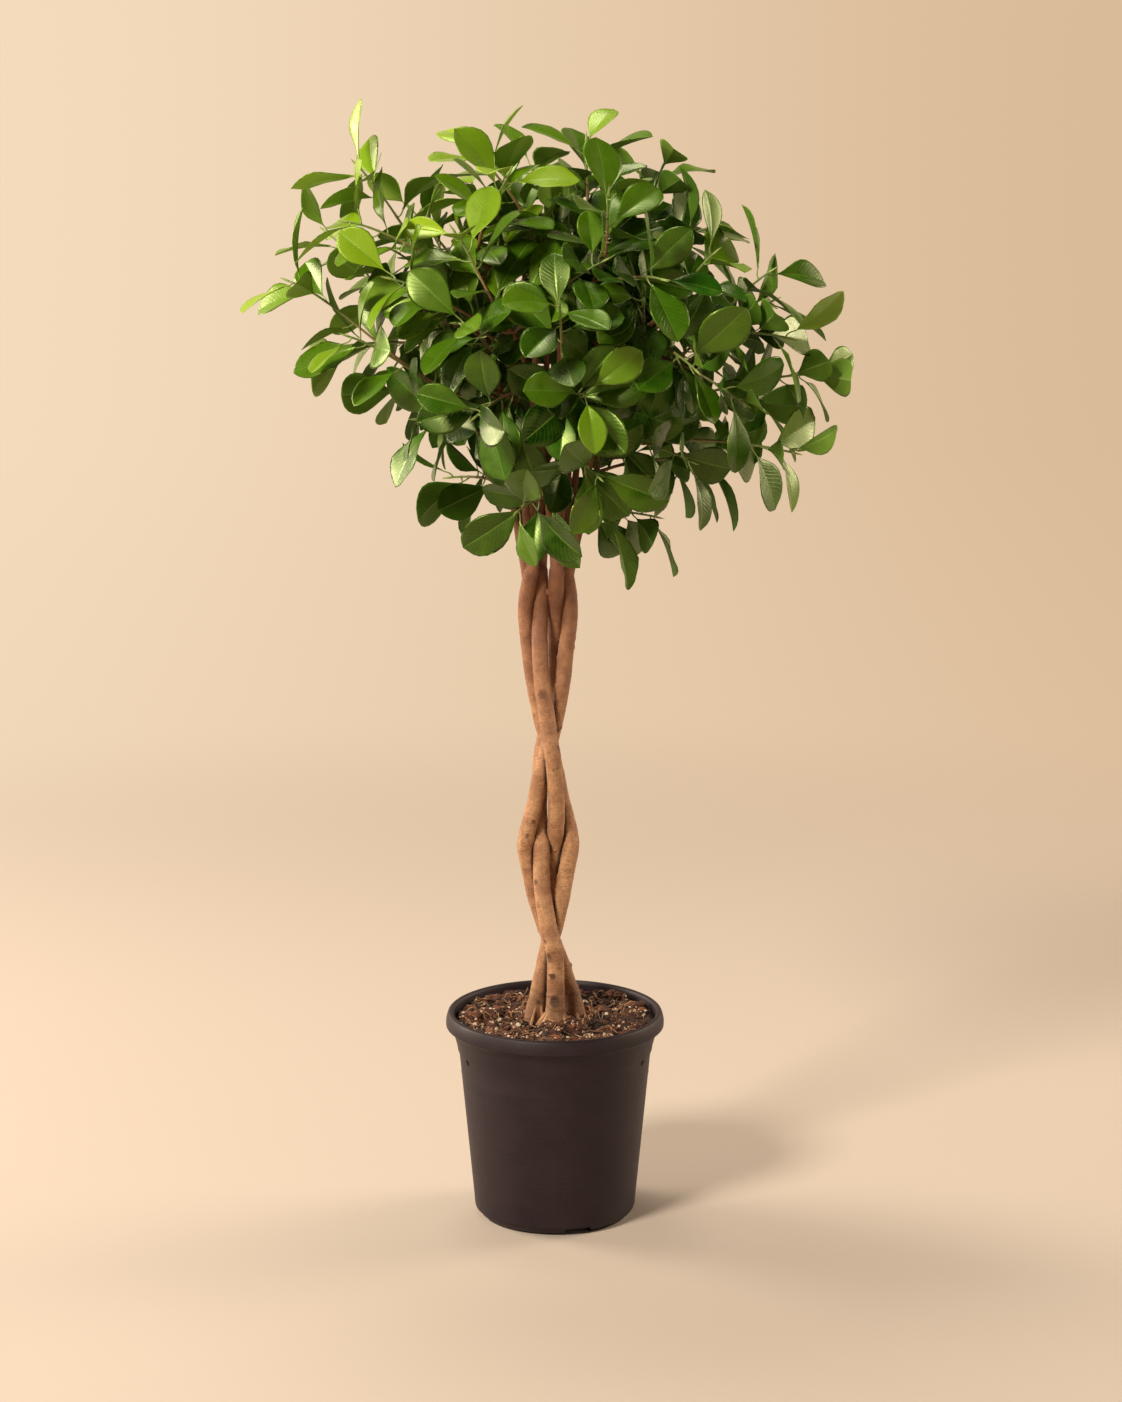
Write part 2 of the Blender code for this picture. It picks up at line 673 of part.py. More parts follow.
def main():
    for old in list(bpy.data.objects):
        bpy.data.objects.remove(old)
    plastic = material("black_plastic", (0.030, 0.027, 0.030), 0.55)
    peat = material("potting_soil", (0.095, 0.045, 0.025), 0.95)
    bark = material("bark", (0.36, 0.215, 0.125), 0.75)
    leaf_green = material("leaf", (0.050, 0.165, 0.022), 0.35)

    make_pot(plastic)
    stems = stem_paths()
    make_soil(peat, [route[:BURIED_RINGS] for route in stems.values()])

    limbs = limb_paths(stems)
    bodies = [(route, [stem_radius(p.z) for p in route], STEM_SIDES) for route in stems.values()]
    bodies += [(path, limb_radii(len(path)), LIMB_SIDES) for _, path in limbs]
    placed = [solid_tree(tube(*body)) for body in bodies]
    for name, route in stems.items():
        stem = add_object(name, tube(route, [stem_radius(p.z) for p in route], STEM_SIDES), bark)
        for number, (_, path) in enumerate(limb for limb in limbs if limb[0] == name):
            fan = tube(path, limb_radii(len(path)), LIMB_SIDES)
            boolean(stem, hide(add_object(f"{name}_limb_{number + 1}", fan, bark)), "UNION")

    shoots = place_twigs(limbs, placed)
    place_leaves(shoots, placed)
    for shoot in shoots:
        make_shoot(shoot, leaf_green)


main()
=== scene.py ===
"""The looks of the potted fig: its pot, potting soil, braided stems and foliage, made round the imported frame.

Metres, +Z up, the front along -Y, as in the frame. The stems, limbs, twigs and leaves grow here by the same
seeded rules as the solids, so each has the place and the size of its solid. What this file adds is their fine
surface, the leaves and twigs that the solids leave out, and what lies in the soil.
"""

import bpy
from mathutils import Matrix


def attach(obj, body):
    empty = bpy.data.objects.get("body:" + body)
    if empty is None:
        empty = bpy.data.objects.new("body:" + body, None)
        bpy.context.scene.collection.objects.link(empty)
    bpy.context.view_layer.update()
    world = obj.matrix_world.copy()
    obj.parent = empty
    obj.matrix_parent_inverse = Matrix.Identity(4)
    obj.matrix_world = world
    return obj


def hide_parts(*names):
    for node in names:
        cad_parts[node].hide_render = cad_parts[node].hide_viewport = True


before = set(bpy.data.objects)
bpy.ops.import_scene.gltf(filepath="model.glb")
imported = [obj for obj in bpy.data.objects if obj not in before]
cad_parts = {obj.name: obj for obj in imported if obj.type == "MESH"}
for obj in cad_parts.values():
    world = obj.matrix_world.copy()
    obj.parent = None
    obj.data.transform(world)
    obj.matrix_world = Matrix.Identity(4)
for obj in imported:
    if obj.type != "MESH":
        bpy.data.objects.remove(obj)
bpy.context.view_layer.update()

import math
import random
from collections import namedtuple
from itertools import combinations

import bmesh
import bpy
import numpy
from mathutils import Matrix, Vector, noise
from mathutils.bvhtree import BVHTree

# ---- driving dimensions --------------------------------------------------------------------------
GAP = 0.0003  # between two pieces that touch

POT_HEIGHT = 0.190
FOOT_RADIUS = 0.0670
POT_WALL = 0.0017
BASE_HEIGHT = 0.0060  # underside of the raised bottom
FOOT_NOTCHES = 4
NOTCH_TURN = math.radians(-73)  # where the first notch lies, from +X
DRAIN_HOLES = 6
DRAIN_RADIUS = 0.0055
DRAIN_CIRCLE = 0.040

SOIL_EDGE = 0.1795  # height of the soil at the pot's wall
SOIL_MOUND = 0.0065  # how much higher it stands round the stems
SOIL_RELIEF = 0.0012

STEM_FOOT = 0.118  # lowest point of a stem, in the soil
STEM_TOP = 0.605  # where a stem forks into its limbs
STEM_RADIUS_LOW = 0.0070
STEM_RADIUS_TOP = 0.0059
STEM_FLARE = 0.0012  # how much wider a stem is where it leaves the soil
FLARE_HEIGHT = 0.185
BRAID_PLAY = 1.05  # how far apart touching stems lie, as a share of their radii
BRAID_REACH = 0.0170  # from the middle of the braid to a stem that passes outside
BRAID_CORE = 0.0090  # and to one that passes inside
BRAID_LAG = math.radians(20)  # how far behind the side pair of stems the front and back pair turns
BRAID_CROSSING = 0.253  # where the stems from the left and right first cross
BRAID_TURN = 0.157  # height in which two stems would change places if the braid stayed as tight as there
BRAID_SLACKENING = 0.65  # how much slower it turns a metre higher
BRAID_START = 0.192  # below it they stand on the four sides of the soil
STEM_CROOK = 0.0020  # how far a stem wanders from the even braid
CROOK_SEED = 1795358779  # Blender seeds its vector noise by the clock unless it is given a seed
BRAID_LEAN = 0.006  # how far left of its foot the braid stands
FOOT_SPREAD = 0.024  # how much further out the buried ends are
STEM_SIDES = 8
STEM_RINGS = 40

HEAD_CENTRE = Vector((0.003, 0.005, 0.804))
HEAD_RADII = Vector((0.165, 0.150, 0.1653))  # to the tips of the shoots; the leaves reach further
HEAD_SKIRT = 0.90  # sine of the angle below the centre where the lowest shoots end
SPRAY_BREADTH = 25  # degrees from the middle of a long spray to where it is half merged with the head
UNEVEN_REACH = 0.06  # how much longer or shorter a shoot is than its place asks for
LIMB_RISES = (74, 40, 8, -24)  # how steeply the limbs of one stem lean out, in degrees
LIMB_TURNS = (12, 30, -28, 2)  # how far each turns from the middle of its stem's quarter
LIMB_RADIUS = 0.0034
LIMB_TAPER = 0.42
LIMB_REACH = 0.58  # share of the way from the centre of the head to its skin
LIMB_SIDES = 6
SPIRAL_TIPS = 90  # even places over the head that shoots may fill
SHOOT_SPACING = 0.066  # between the tips of the shoots that fill the head
TWIG_RADIUS = 0.0015
TWIG_TAPER = 0.45
TWIG_SIDES = 4
SEAT_SPACING = 0.011  # between twigs on one limb
TWIG_CLEARANCE = 0.0008  # round a twig, besides its own thickness
INTERNODE = 0.0085  # between two leaves of a shoot
LEAVES_PER_SHOOT = 5
LEAF_LENGTH = 0.053
LEAF_THICKNESS = 0.0009
STALK_RADIUS = 0.0006
GOLDEN_ANGLE = math.pi * (3 - math.sqrt(5))
SEED = 11

# Which way the limbs of each stem lean, as an angle round the trunk from +X.
LIMB_SECTORS = {"stem_1": 90, "stem_2": 0, "stem_3": 270, "stem_4": 180}

# Sprays that have outgrown the round of the head: degrees round it from +X, degrees above level, and how much
# further they reach, as a share of the head's own radius.
LONG_SPRAYS = ((180, 20, 0.45), (0, -15, 0.45), (270, -60, 0.10))

Leaf = namedtuple("Leaf", "seat around root direction normal stalk length width fold curl")
Shoot = namedtuple("Shoot", "number path bevel leaves")


# ---- how the tree grows --------------------------------------------------------------------------
def clamp(value):
    return min(max(value, 0), 1)


def bell(away, breadth):
    """One in the middle, fading with the distance from it."""
    return math.exp(-((away / breadth) ** 2))


def turns_of(count):
    return [math.tau * k / count for k in range(count)]


def polar(radius, turn):
    """x and y at a radius and an angle from +X round the middle of the pot."""
    return radius * math.cos(turn), radius * math.sin(turn)


def upright(radius, z, count):
    """A level circle of points."""
    return [Vector((*polar(radius, turn), z)) for turn in turns_of(count)]


def smooth_curve(points, count):
    """count points, evenly spaced, on a Catmull-Rom curve through the given ones."""
    ends = [points[0] * 2 - points[1], *points, points[-1] * 2 - points[-2]]
    fine = []
    for a, b, c, d in zip(ends, ends[1:], ends[2:], ends[3:]):
        square, cube = a - b * 2.5 + c * 2 - d / 2, (b * 3 - a - c * 3 + d) / 2
        for t in [step / 12 for step in range(12)]:
            fine.append(b + (c - a) / 2 * t + square * t**2 + cube * t**3)
    return evenly([*fine, points[-1]], count)


def evenly(points, count):
    """count points at equal distances along a line of points."""
    reached = [0.0]
    for a, b in zip(points, points[1:]):
        reached.append(reached[-1] + (b - a).length)
    found, k = [], 0
    for i in range(count):
        wanted = reached[-1] * i / (count - 1)
        while k < len(points) - 2 and reached[k + 1] < wanted:
            k += 1
        share = (wanted - reached[k]) / max(reached[k + 1] - reached[k], 1e-9)
        found.append(points[k].lerp(points[k + 1], clamp(share)))
    return found


def tangents(path):
    return [(b - a).normalized() for a, b in zip([path[0], *path[:-1]], [*path[1:], path[-1]])]


def ring_frames(path):
    """For each point of the path its two directions across the path, carried along without twisting."""
    along = tangents(path)
    across = along[0].orthogonal().normalized()
    frames = []
    for way in along:
        across = (across - way * across.dot(way)).normalized()
        frames.append((across, way.cross(across)))
    return frames


def add_rings(bm, path, radii, sides, frames=None):
    """One ring of vertices round each point of the path."""
    rings = []
    for point, radius, (across, other) in zip(path, radii, frames or ring_frames(path)):
        turns = [math.tau * (k + 0.5) / sides for k in range(sides)]
        spokes = [(across * math.cos(a) + other * math.sin(a)) * radius for a in turns]
        rings.append([bm.verts.new(point + spoke) for spoke in spokes])
    return rings


def tube(path, radii, sides):
    """A closed tube with flat ends."""
    bm = bmesh.new()
    rings = add_rings(bm, path, radii, sides)
    for low, high in zip(rings, rings[1:]):
        for k in range(sides):
            bm.faces.new((low[k], low[k - 1], high[k - 1], high[k]))
    bm.faces.new(rings[0])
    bm.faces.new(reversed(rings[-1]))
    return bm


def stem_radius(height):
    """Radius of a stem: a slow taper, with a flare where it leaves the soil and a tapered end below."""
    share = (height - POT_HEIGHT) / (STEM_TOP - POT_HEIGHT)
    radius = STEM_RADIUS_LOW + (STEM_RADIUS_TOP - STEM_RADIUS_LOW) * max(share, 0) ** 0.6
    flare = STEM_FLARE * bell(height - FLARE_HEIGHT, 0.014)
    buried = min(1, 0.45 + 0.55 * (height - STEM_FOOT) / 0.05)
    fork = min(1, 0.60 + 0.40 * (STEM_TOP - height) / 0.012)
    return (radius + flare) * buried * fork


def press_apart(routes):
    """Slides the stems apart where they would lie in one another, as the strands of a tight braid do."""
    count = len(routes[0])
    wanted = [[point.copy() for point in route] for route in routes]
    for turn in range(320):
        ease = (0.20, 0.08, 0.0)[(turn > 120) + (turn > 240)]
        for route, places in zip(routes, wanted):
            means = [(low + high) / 2 for low, high in zip(route, route[2:])]
            for here, mean, place in zip(route[1:-1], means, places[1:-1]):
                here += (mean - here) * ease + (place - here) * ease * 0.4
        for route, other in combinations(routes, 2):
            for k, point in enumerate(route):
                near = min(other[max(k - 3, 0) : min(k + 4, count)], key=lambda p: (p - point).length)
                apart = point - near
                lacking = (stem_radius(point.z) + stem_radius(near.z)) * BRAID_PLAY + GAP * 3 - apart.length
                if lacking > 0:
                    push = Vector((apart.x * 0.6, apart.y, 0)).normalized() * lacking * 0.35
                    point += push
                    near -= push


def braid_point(number, height):
    """The middle of a stem at a height.

    Stems 2 and 4 circle the braid on a wide ellipse, stems 1 and 3 on a deep one the other way round, so
    each pair passes inside while the other passes outside. Under the first crossing stems 1 and 3 run
    straight down, and below BRAID_START all four do.
    """
    rise = max(height, BRAID_START) - BRAID_CROSSING
    turn = math.pi * rise * (1 - BRAID_SLACKENING * rise) / BRAID_TURN
    side = 1 if number < 2 else -1
    if number % 2:
        x, y = -side * BRAID_REACH * math.sin(turn), side * BRAID_CORE * math.cos(turn)
    else:
        turn = max(turn, 0) - BRAID_LAG * clamp((height - BRAID_START) / 0.06)
        x, y = side * BRAID_CORE * math.sin(turn), side * BRAID_REACH * math.cos(turn)
    below = max(BRAID_START - height, 0) / (BRAID_START - STEM_FOOT)
    out = 1 + FOOT_SPREAD / math.hypot(x, y) * below**1.5
    lean = BRAID_LEAN * clamp((height - POT_HEIGHT) / 0.1)
    crook = noise.noise_vector(Vector((number * 7, 0, height * 18))) * STEM_CROOK
    return Vector((x * out - lean + crook.x, y * out + crook.y, height))


def stem_paths():
    """The centrelines of the four stems, each with a point at the same heights."""
    noise.seed_set(CROOK_SEED)
    heights = [STEM_FOOT + (STEM_TOP - STEM_FOOT) * i / (STEM_RINGS - 1) for i in range(STEM_RINGS)]
    routes = [[braid_point(number, height) for height in heights] for number in range(len(LIMB_SECTORS))]
    press_apart(routes)
    return dict(zip(LIMB_SECTORS, routes))


def bezier(a, b, c, d, count):
    found = []
    for i in range(count):
        t = i / (count - 1)
        found.append(a * (1 - t) ** 3 + b * 3 * t * (1 - t) ** 2 + c * 3 * t * t * (1 - t) + d * t**3)
    return found


def on_head(direction, share=1.0):
    """The point at this share of the way from the middle of the head to its skin."""
    return HEAD_CENTRE + Vector([d * r * share for d, r in zip(direction, HEAD_RADII)])


def in_head(place):
    """A place as shares of the head's radii from its middle."""
    return Vector([d / r for d, r in zip(place - HEAD_CENTRE, HEAD_RADII)])


def compass(turn, rise):
    """A direction, from degrees round +X and degrees above level."""
    turn, rise = math.radians(turn), math.radians(rise)
    return Vector((math.cos(turn) * math.cos(rise), math.sin(turn) * math.cos(rise), math.sin(rise)))


def limb_radius(share):
    return LIMB_RADIUS * (1 - LIMB_TAPER * share)


def limb_radii(count):
    return [limb_radius(i / (count - 1)) for i in range(count)]


def limb_paths(stems):
    """Each stem's limbs: a fan that opens from the top of the stem into its own quarter of the head."""
    limbs = []
    for name, route in stems.items():
        for rise, turn in zip(LIMB_RISES, LIMB_TURNS):
            start = route[-2] if rise > 20 else route[-3]
            way = compass(LIMB_SECTORS[name] + turn, rise)
            end = on_head(way, LIMB_REACH if rise < 60 else LIMB_REACH * 0.85)
            side = Vector((way.x, way.y, 0))
            lift = Vector((0, 0, (end.z - start.z) * 0.45))
            path = bezier(start, start + lift + side * 0.02, end - side * 0.045 - lift * 0.2, end, 8)
            limbs.append((name, path))
    return limbs


def head_reach(way):
    """How far the head goes in a direction, as a share of its radii: further in its long sprays."""
    reach = 1
    for turn, rise, longer in LONG_SPRAYS:
        off = math.degrees(way.angle(compass(turn, rise)))
        reach += longer * 0.5 ** ((off / SPRAY_BREADTH) ** 2)
    return reach


def spiral_ways(count, start=0):
    """Directions in an even spiral over the head, down to its skirt."""
    rises = [math.degrees(math.asin(1 - (i + 0.5) / count * (1 + HEAD_SKIRT))) for i in range(count)]
    return [compass(math.degrees(i * GOLDEN_ANGLE + start), rise) for i, rise in enumerate(rises)]


def shoot_tips():
    """Where the shoots end: an even spiral over the head, with no two tips too close."""
    rng = random.Random(SEED)
    tips = []
    for way in spiral_ways(SPIRAL_TIPS):
        tip = on_head(way, head_reach(way) + rng.uniform(-UNEVEN_REACH, UNEVEN_REACH))
        if all((tip - other).length > SHOOT_SPACING for other in tips):
            tips.append(tip)
    return tips


def solid_tree(bm):
    """What a new piece is tested against: the surface of one in place, with its middle and its reach."""
    tree = BVHTree.FromBMesh(bm)
    corners = [v.co.copy() for v in bm.verts]
    bm.free()
    centre = sum(corners, Vector()) / len(corners)
    return tree, centre, max((c - centre).length for c in corners)


def clear_of(candidate, placed):
    tree, centre, reach = candidate
    for other, middle, extent in placed:
        if (middle - centre).length < reach + extent and tree.overlap(other):
            return False
    return True


def twig_path(limb, share, tip):
    """A twig from a limb, at this share of its length, to its tip, and the way its foot faces."""
    fine = evenly(limb, 41)
    k = round(share * 40)
    along = tangents(fine)[k]
    if share == 1:
        out = along
        start = fine[k] + out * GAP * 1.5
        leave = along
    else:
        aim = (tip - fine[k]).normalized()
        out = (aim - along * aim.dot(along)).normalized()
        start = fine[k] + out * (limb_radius(share) + GAP)
        leave = (out + along * 0.8).normalized()
    reach = (tip - start).length
    arch = Vector((0, 0, 0.07)) * reach
    return bezier(start, start + leave * reach * 0.3, tip - (tip - start) * 0.3 + arch, tip, 24), out


def twig_radius(share):
    return TWIG_RADIUS * (1 - TWIG_TAPER * share)


def add_twig_rings(bm, path, stops, bevel):
    """The rings of a twig at these shares of its length; the first is cut flat against its limb."""
    fine = evenly(path, 200)
    frames = ring_frames(fine)
    picked = [round(stop * 199) for stop in stops]
    points = [fine[k] for k in picked]
    radii = [twig_radius(stop) for stop in stops]
    rings = add_rings(bm, points, radii, TWIG_SIDES, [frames[k] for k in picked])
    along = (points[1] - points[0]).normalized()
    for vertex in rings[0]:
        vertex.co -= along * (vertex.co - points[0]).dot(bevel) / along.dot(bevel)
    return rings, points


def twig_alone(path, bevel, thicker=0.0):
    """A twig without leaves, as a closed body for the clearance tests."""
    bm = bmesh.new()
    rings, points = add_twig_rings(bm, path, [i / 10 for i in range(11)], bevel)
    for ring, point in zip(rings[1:], points[1:]):
        for vertex in ring:
            vertex.co += (vertex.co - point).normalized() * thicker
    for low, high in zip(rings, rings[1:]):
        for k in range(TWIG_SIDES):
            bm.faces.new((low[k - 1], low[k], high[k], high[k - 1]))
    bm.faces.new(rings[0])
    bm.faces.new(rings[-1])
    return solid_tree(bm)


def place_twigs(limbs, placed, tips, first=0, spacing=SEAT_SPACING):
    """A twig for each tip, from the best free seat on a limb."""
    seats = []
    for _, limb in limbs:
        places = evenly(limb, 21)
        seats += [(limb, step / 20, places[step]) for step in range(4, 21)]
    shoots, taken = [], []
    for tip in tips:
        for limb, share, seat in sorted(seats, key=lambda s: seat_cost(tip, *s))[:90]:
            if any((seat - other).length < spacing for other in taken):
                continue
            path, bevel = twig_path(limb, share, tip)
            if clear_of(twig_alone(path, bevel, TWIG_CLEARANCE), placed):
                placed.append(twig_alone(path, bevel, GAP))
                taken.append(seat)
                shoots.append(Shoot(first + len(shoots), path, bevel, []))
                break
    return shoots


def seat_cost(tip, limb, share, seat):
    """Twigs start near their tip, lower than it, and turn as little as they can from the limb."""
    way = (limb[-1] - limb[-3]).normalized()
    rise = (tip - seat).normalized()
    return (tip - seat).length * (1.35 - 0.35 * rise.dot(way)) - 0.010 * (share == 1)


def leaf_half_width(t):
    """Half a leaf's width at t of its length, as a share of its full width: widest just past the middle."""
    return 0.5 * math.sin(math.pi * clamp(t) ** 1.22) ** 0.72


def blade_axes(leaf, t):
    """Across a leaf, along its curled midrib, and off its blade, at t of its length."""
    bend = leaf.curl * t
    ahead = leaf.direction * math.cos(bend / 2) - leaf.normal * math.sin(bend / 2)
    raised = leaf.normal * math.cos(bend) + leaf.direction * math.sin(bend)
    return leaf.direction.cross(leaf.normal), ahead, raised


def leaf_point(leaf, t, side, lift=0.0):
    """A point of a leaf's blade: t along it, side from -1 to 1 across it, lifted off it by a distance."""
    across, ahead, raised = blade_axes(leaf, t)
    half = leaf_half_width(t) * leaf.width * side
    middle = leaf.root + leaf.direction * leaf.stalk + ahead * leaf.length * t
    return middle + across * half * math.cos(leaf.fold) + raised * (abs(half) * math.sin(leaf.fold) + lift)


def blade_sections(leaf):
    """The cross-sections of a leaf, each left, under, right and over, then the tip."""
    across = leaf.direction.cross(leaf.normal)
    end = leaf.root + leaf.direction * leaf.stalk
    sides = (-across, -leaf.normal, across, leaf.normal)
    sections = [[end + side * STALK_RADIUS for side in sides]]
    for t in (0.30, 0.70):
        sections.append([
            leaf_point(leaf, t, -1),
            leaf_point(leaf, t, 0, -LEAF_THICKNESS / 2),
            leaf_point(leaf, t, 1),
            leaf_point(leaf, t, 0, LEAF_THICKNESS / 2),
        ])
    return sections, leaf_point(leaf, 1, 0)


def close_blade(bm, rings, tip):
    for low, high in zip(rings, rings[1:]):
        for k in range(4):
            bm.faces.new((low[k - 1], low[k], high[k], high[k - 1]))
    for k in range(4):
        bm.faces.new((rings[-1][k - 1], rings[-1][k], tip))


def leaf_alone(leaf):
    """A leaf from just outside its twig, as a closed body for the clearance tests."""
    sections, tip = blade_sections(leaf)
    shift = leaf.direction * (leaf.stalk - 0.0028)
    bm = bmesh.new()
    rings = [[bm.verts.new(p) for p in section] for section in [[p - shift for p in sections[0]], *sections]]
    bm.faces.new(rings[0])
    close_blade(bm, rings, bm.verts.new(tip))
    return solid_tree(bm)


def leaf_at(shoot, seat, number, attempt):
    """The leaf that grows at this seat of the twig; later attempts turn and shrink it."""
    rng = random.Random(f"{SEED}/{shoot.number}/{number}/{attempt}")
    fine = evenly(shoot.path, 60)
    k = round(seat * 59)
    way = tangents(fine)[k]
    across, other = ring_frames(fine)[k]
    outward = (fine[k] - HEAD_CENTRE).normalized()
    swing = attempt * 0.3 * (-1) ** attempt
    turn = shoot.number + number * GOLDEN_ANGLE + swing * 2 + rng.uniform(-0.3, 0.3)
    spread = math.radians((52 if number == 0 else 66) + rng.uniform(-9, 9))
    around = across * math.cos(turn) + other * math.sin(turn)
    direction = (way * math.cos(spread) + around * math.sin(spread) + outward * 0.2).normalized()
    if direction.dot(way) > 0.8:
        direction = (direction - way * (direction.dot(way) - 0.8) * 1.6).normalized()
    around = (direction - way * direction.dot(way)).normalized()
    light = Vector((0, 0, 0.6)) + outward * 1.1 + way * 0.2
    normal = (light - direction * light.dot(direction)).normalized()
    normal = Matrix.Rotation(rng.uniform(-0.4, 0.4), 3, direction) @ normal
    length = LEAF_LENGTH * rng.uniform(0.84, 1.14) * (0.88 if number == 0 else 1) * 0.93**attempt
    return Leaf(
        seat=seat,
        around=around,
        root=fine[k] + around * twig_radius(seat) * 0.7,
        direction=direction,
        normal=normal,
        stalk=rng.uniform(0.007, 0.011),
        length=length,
        width=length * rng.uniform(0.60, 0.72),
        fold=math.radians(rng.uniform(6, 18)),
        curl=rng.uniform(0.1, 0.6),
    )


def grow_leaf(shoot, seat, number, placed, attempts):
    """One leaf more, turned until it touches nothing, or none."""
    for attempt in range(attempts):
        leaf = leaf_at(shoot, seat, number, attempt)
        body = leaf_alone(leaf)
        if clear_of(body, placed):
            placed.append(body)
            shoot.leaves.append(leaf)
            return


def place_leaves(shoots, placed, count, attempts):
    """Leaves from the tips inwards, one to a shoot at a time."""
    for number in range(count):
        for shoot in shoots:
            grow_leaf(shoot, 1 - leaf_distance(shoot, number), number, placed, attempts)


def path_length(path):
    return sum((b - a).length for a, b in zip(path, path[1:]))


def leaf_distance(shoot, number):
    """How far below the tip a leaf sits, as a share of the twig's length; on a short twig they sit closer."""
    length = path_length(shoot.path)
    return (0.003 + min(INTERNODE, length * 0.7 / LEAVES_PER_SHOOT) * number) / length


# ---- meshes --------------------------------------------------------------------------------------
def in_scene(name, data):
    made = bpy.data.objects.new(name, data)
    bpy.context.scene.collection.objects.link(made)
    return made


class Skin:
    """Points and faces of one piece. A point has a place on a map and a tone: youth, shade, share along."""

    def __init__(self):
        self.points, self.faces, self.slots, self.places, self.tones = [], [], [], [], []

    def sleeve(self, rings, tone, places=None, slots=None):
        """A closed skin through rings of equally many points, anticlockwise round the way along them."""
        count = len(rings[0])
        for i, ring in enumerate(rings):
            first = len(self.points)
            share = i / (len(rings) - 1)
            self.points += ring
            self.places += places[i] if places else [(share, k / count) for k in range(count)]
            self.tones += [(*tone, share)] * count
            if i:
                low = first - count
                for k in range(count):
                    after = (k + 1) % count
                    self.faces.append((low + k, low + after, first + after, first + k))
                    self.slots.append(slots[k] if slots else 0)
        start = first - count * (len(rings) - 1)
        self.faces += [tuple(range(start, start + count))[::-1], tuple(range(first, first + count))]
        self.slots += [slots[0] if slots else 0] * 2

    def blob(self, centre, radii, turn, rough, rng, tone):
        """A small lump: a ball of given half-sizes, turned and made uneven."""
        seed = Vector([rng.uniform(0, 90) for _ in range(3)])
        first = len(self.points)
        for corner in BALL_POINTS:
            bulge = 1 + rough * noise.noise(corner * 1.7 + seed)
            self.points.append(centre + turn @ Vector([c * r * bulge for c, r in zip(corner, radii)]))
            self.places.append((0, 0))
            self.tones.append((*tone, 0))
        self.faces += [tuple(first + k for k in face) for face in BALL_FACES]
        self.slots += [0] * len(BALL_FACES)

    def piece(self, name, materials, slot, nodes=(), sharp=None):
        """The finished piece, riding on the plant's one body, in place of the nodes it stands for."""
        mesh = bpy.data.meshes.new(name)
        mesh.from_pydata(self.points, [], self.faces)
        mesh.polygons.foreach_set("material_index", self.slots)
        mesh.polygons.foreach_set("use_smooth", [True] * len(self.faces))
        if sharp:
            mesh.set_sharp_from_angle(angle=math.radians(sharp))
        corners = numpy.empty(len(mesh.loops), dtype=numpy.int32)
        mesh.loops.foreach_get("vertex_index", corners)
        places = mesh.uv_layers.new(name="place")
        places.data.foreach_set("uv", numpy.array(self.places, dtype=numpy.float32)[corners].ravel())
        tones = numpy.array([(*tone, 1) for tone in self.tones], dtype=numpy.float32)
        mesh.attributes.new("tone", "FLOAT_COLOR", "POINT").data.foreach_set("color", tones.ravel())
        for surface in materials:
            mesh.materials.append(surface)
        mesh.validate()
        made = in_scene(name, mesh)
        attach(made, "root")
        if nodes:
            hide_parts(*nodes)
        return made


def ball(divisions):
    bm = bmesh.new()
    bmesh.ops.create_icosphere(bm, subdivisions=divisions, radius=1)
    points = [v.co.copy() for v in bm.verts]
    faces = [[v.index for v in f.verts] for f in bm.faces]
    bm.free()
    return points, faces


BALL_POINTS, BALL_FACES = ball(2)


def ring(centre, across, other, radius, sides):
    return [centre + (across * math.cos(a) + other * math.sin(a)) * radius for a in turns_of(sides)]


def hose(skin, path, radii, sides, tone, slot=0):
    """A closed tube of changing radius along a path."""
    rings = [ring(p, a, o, r, sides) for p, (a, o), r in zip(path, ring_frames(path), radii)]
    skin.sleeve(rings, tone, slots=[slot] * sides)


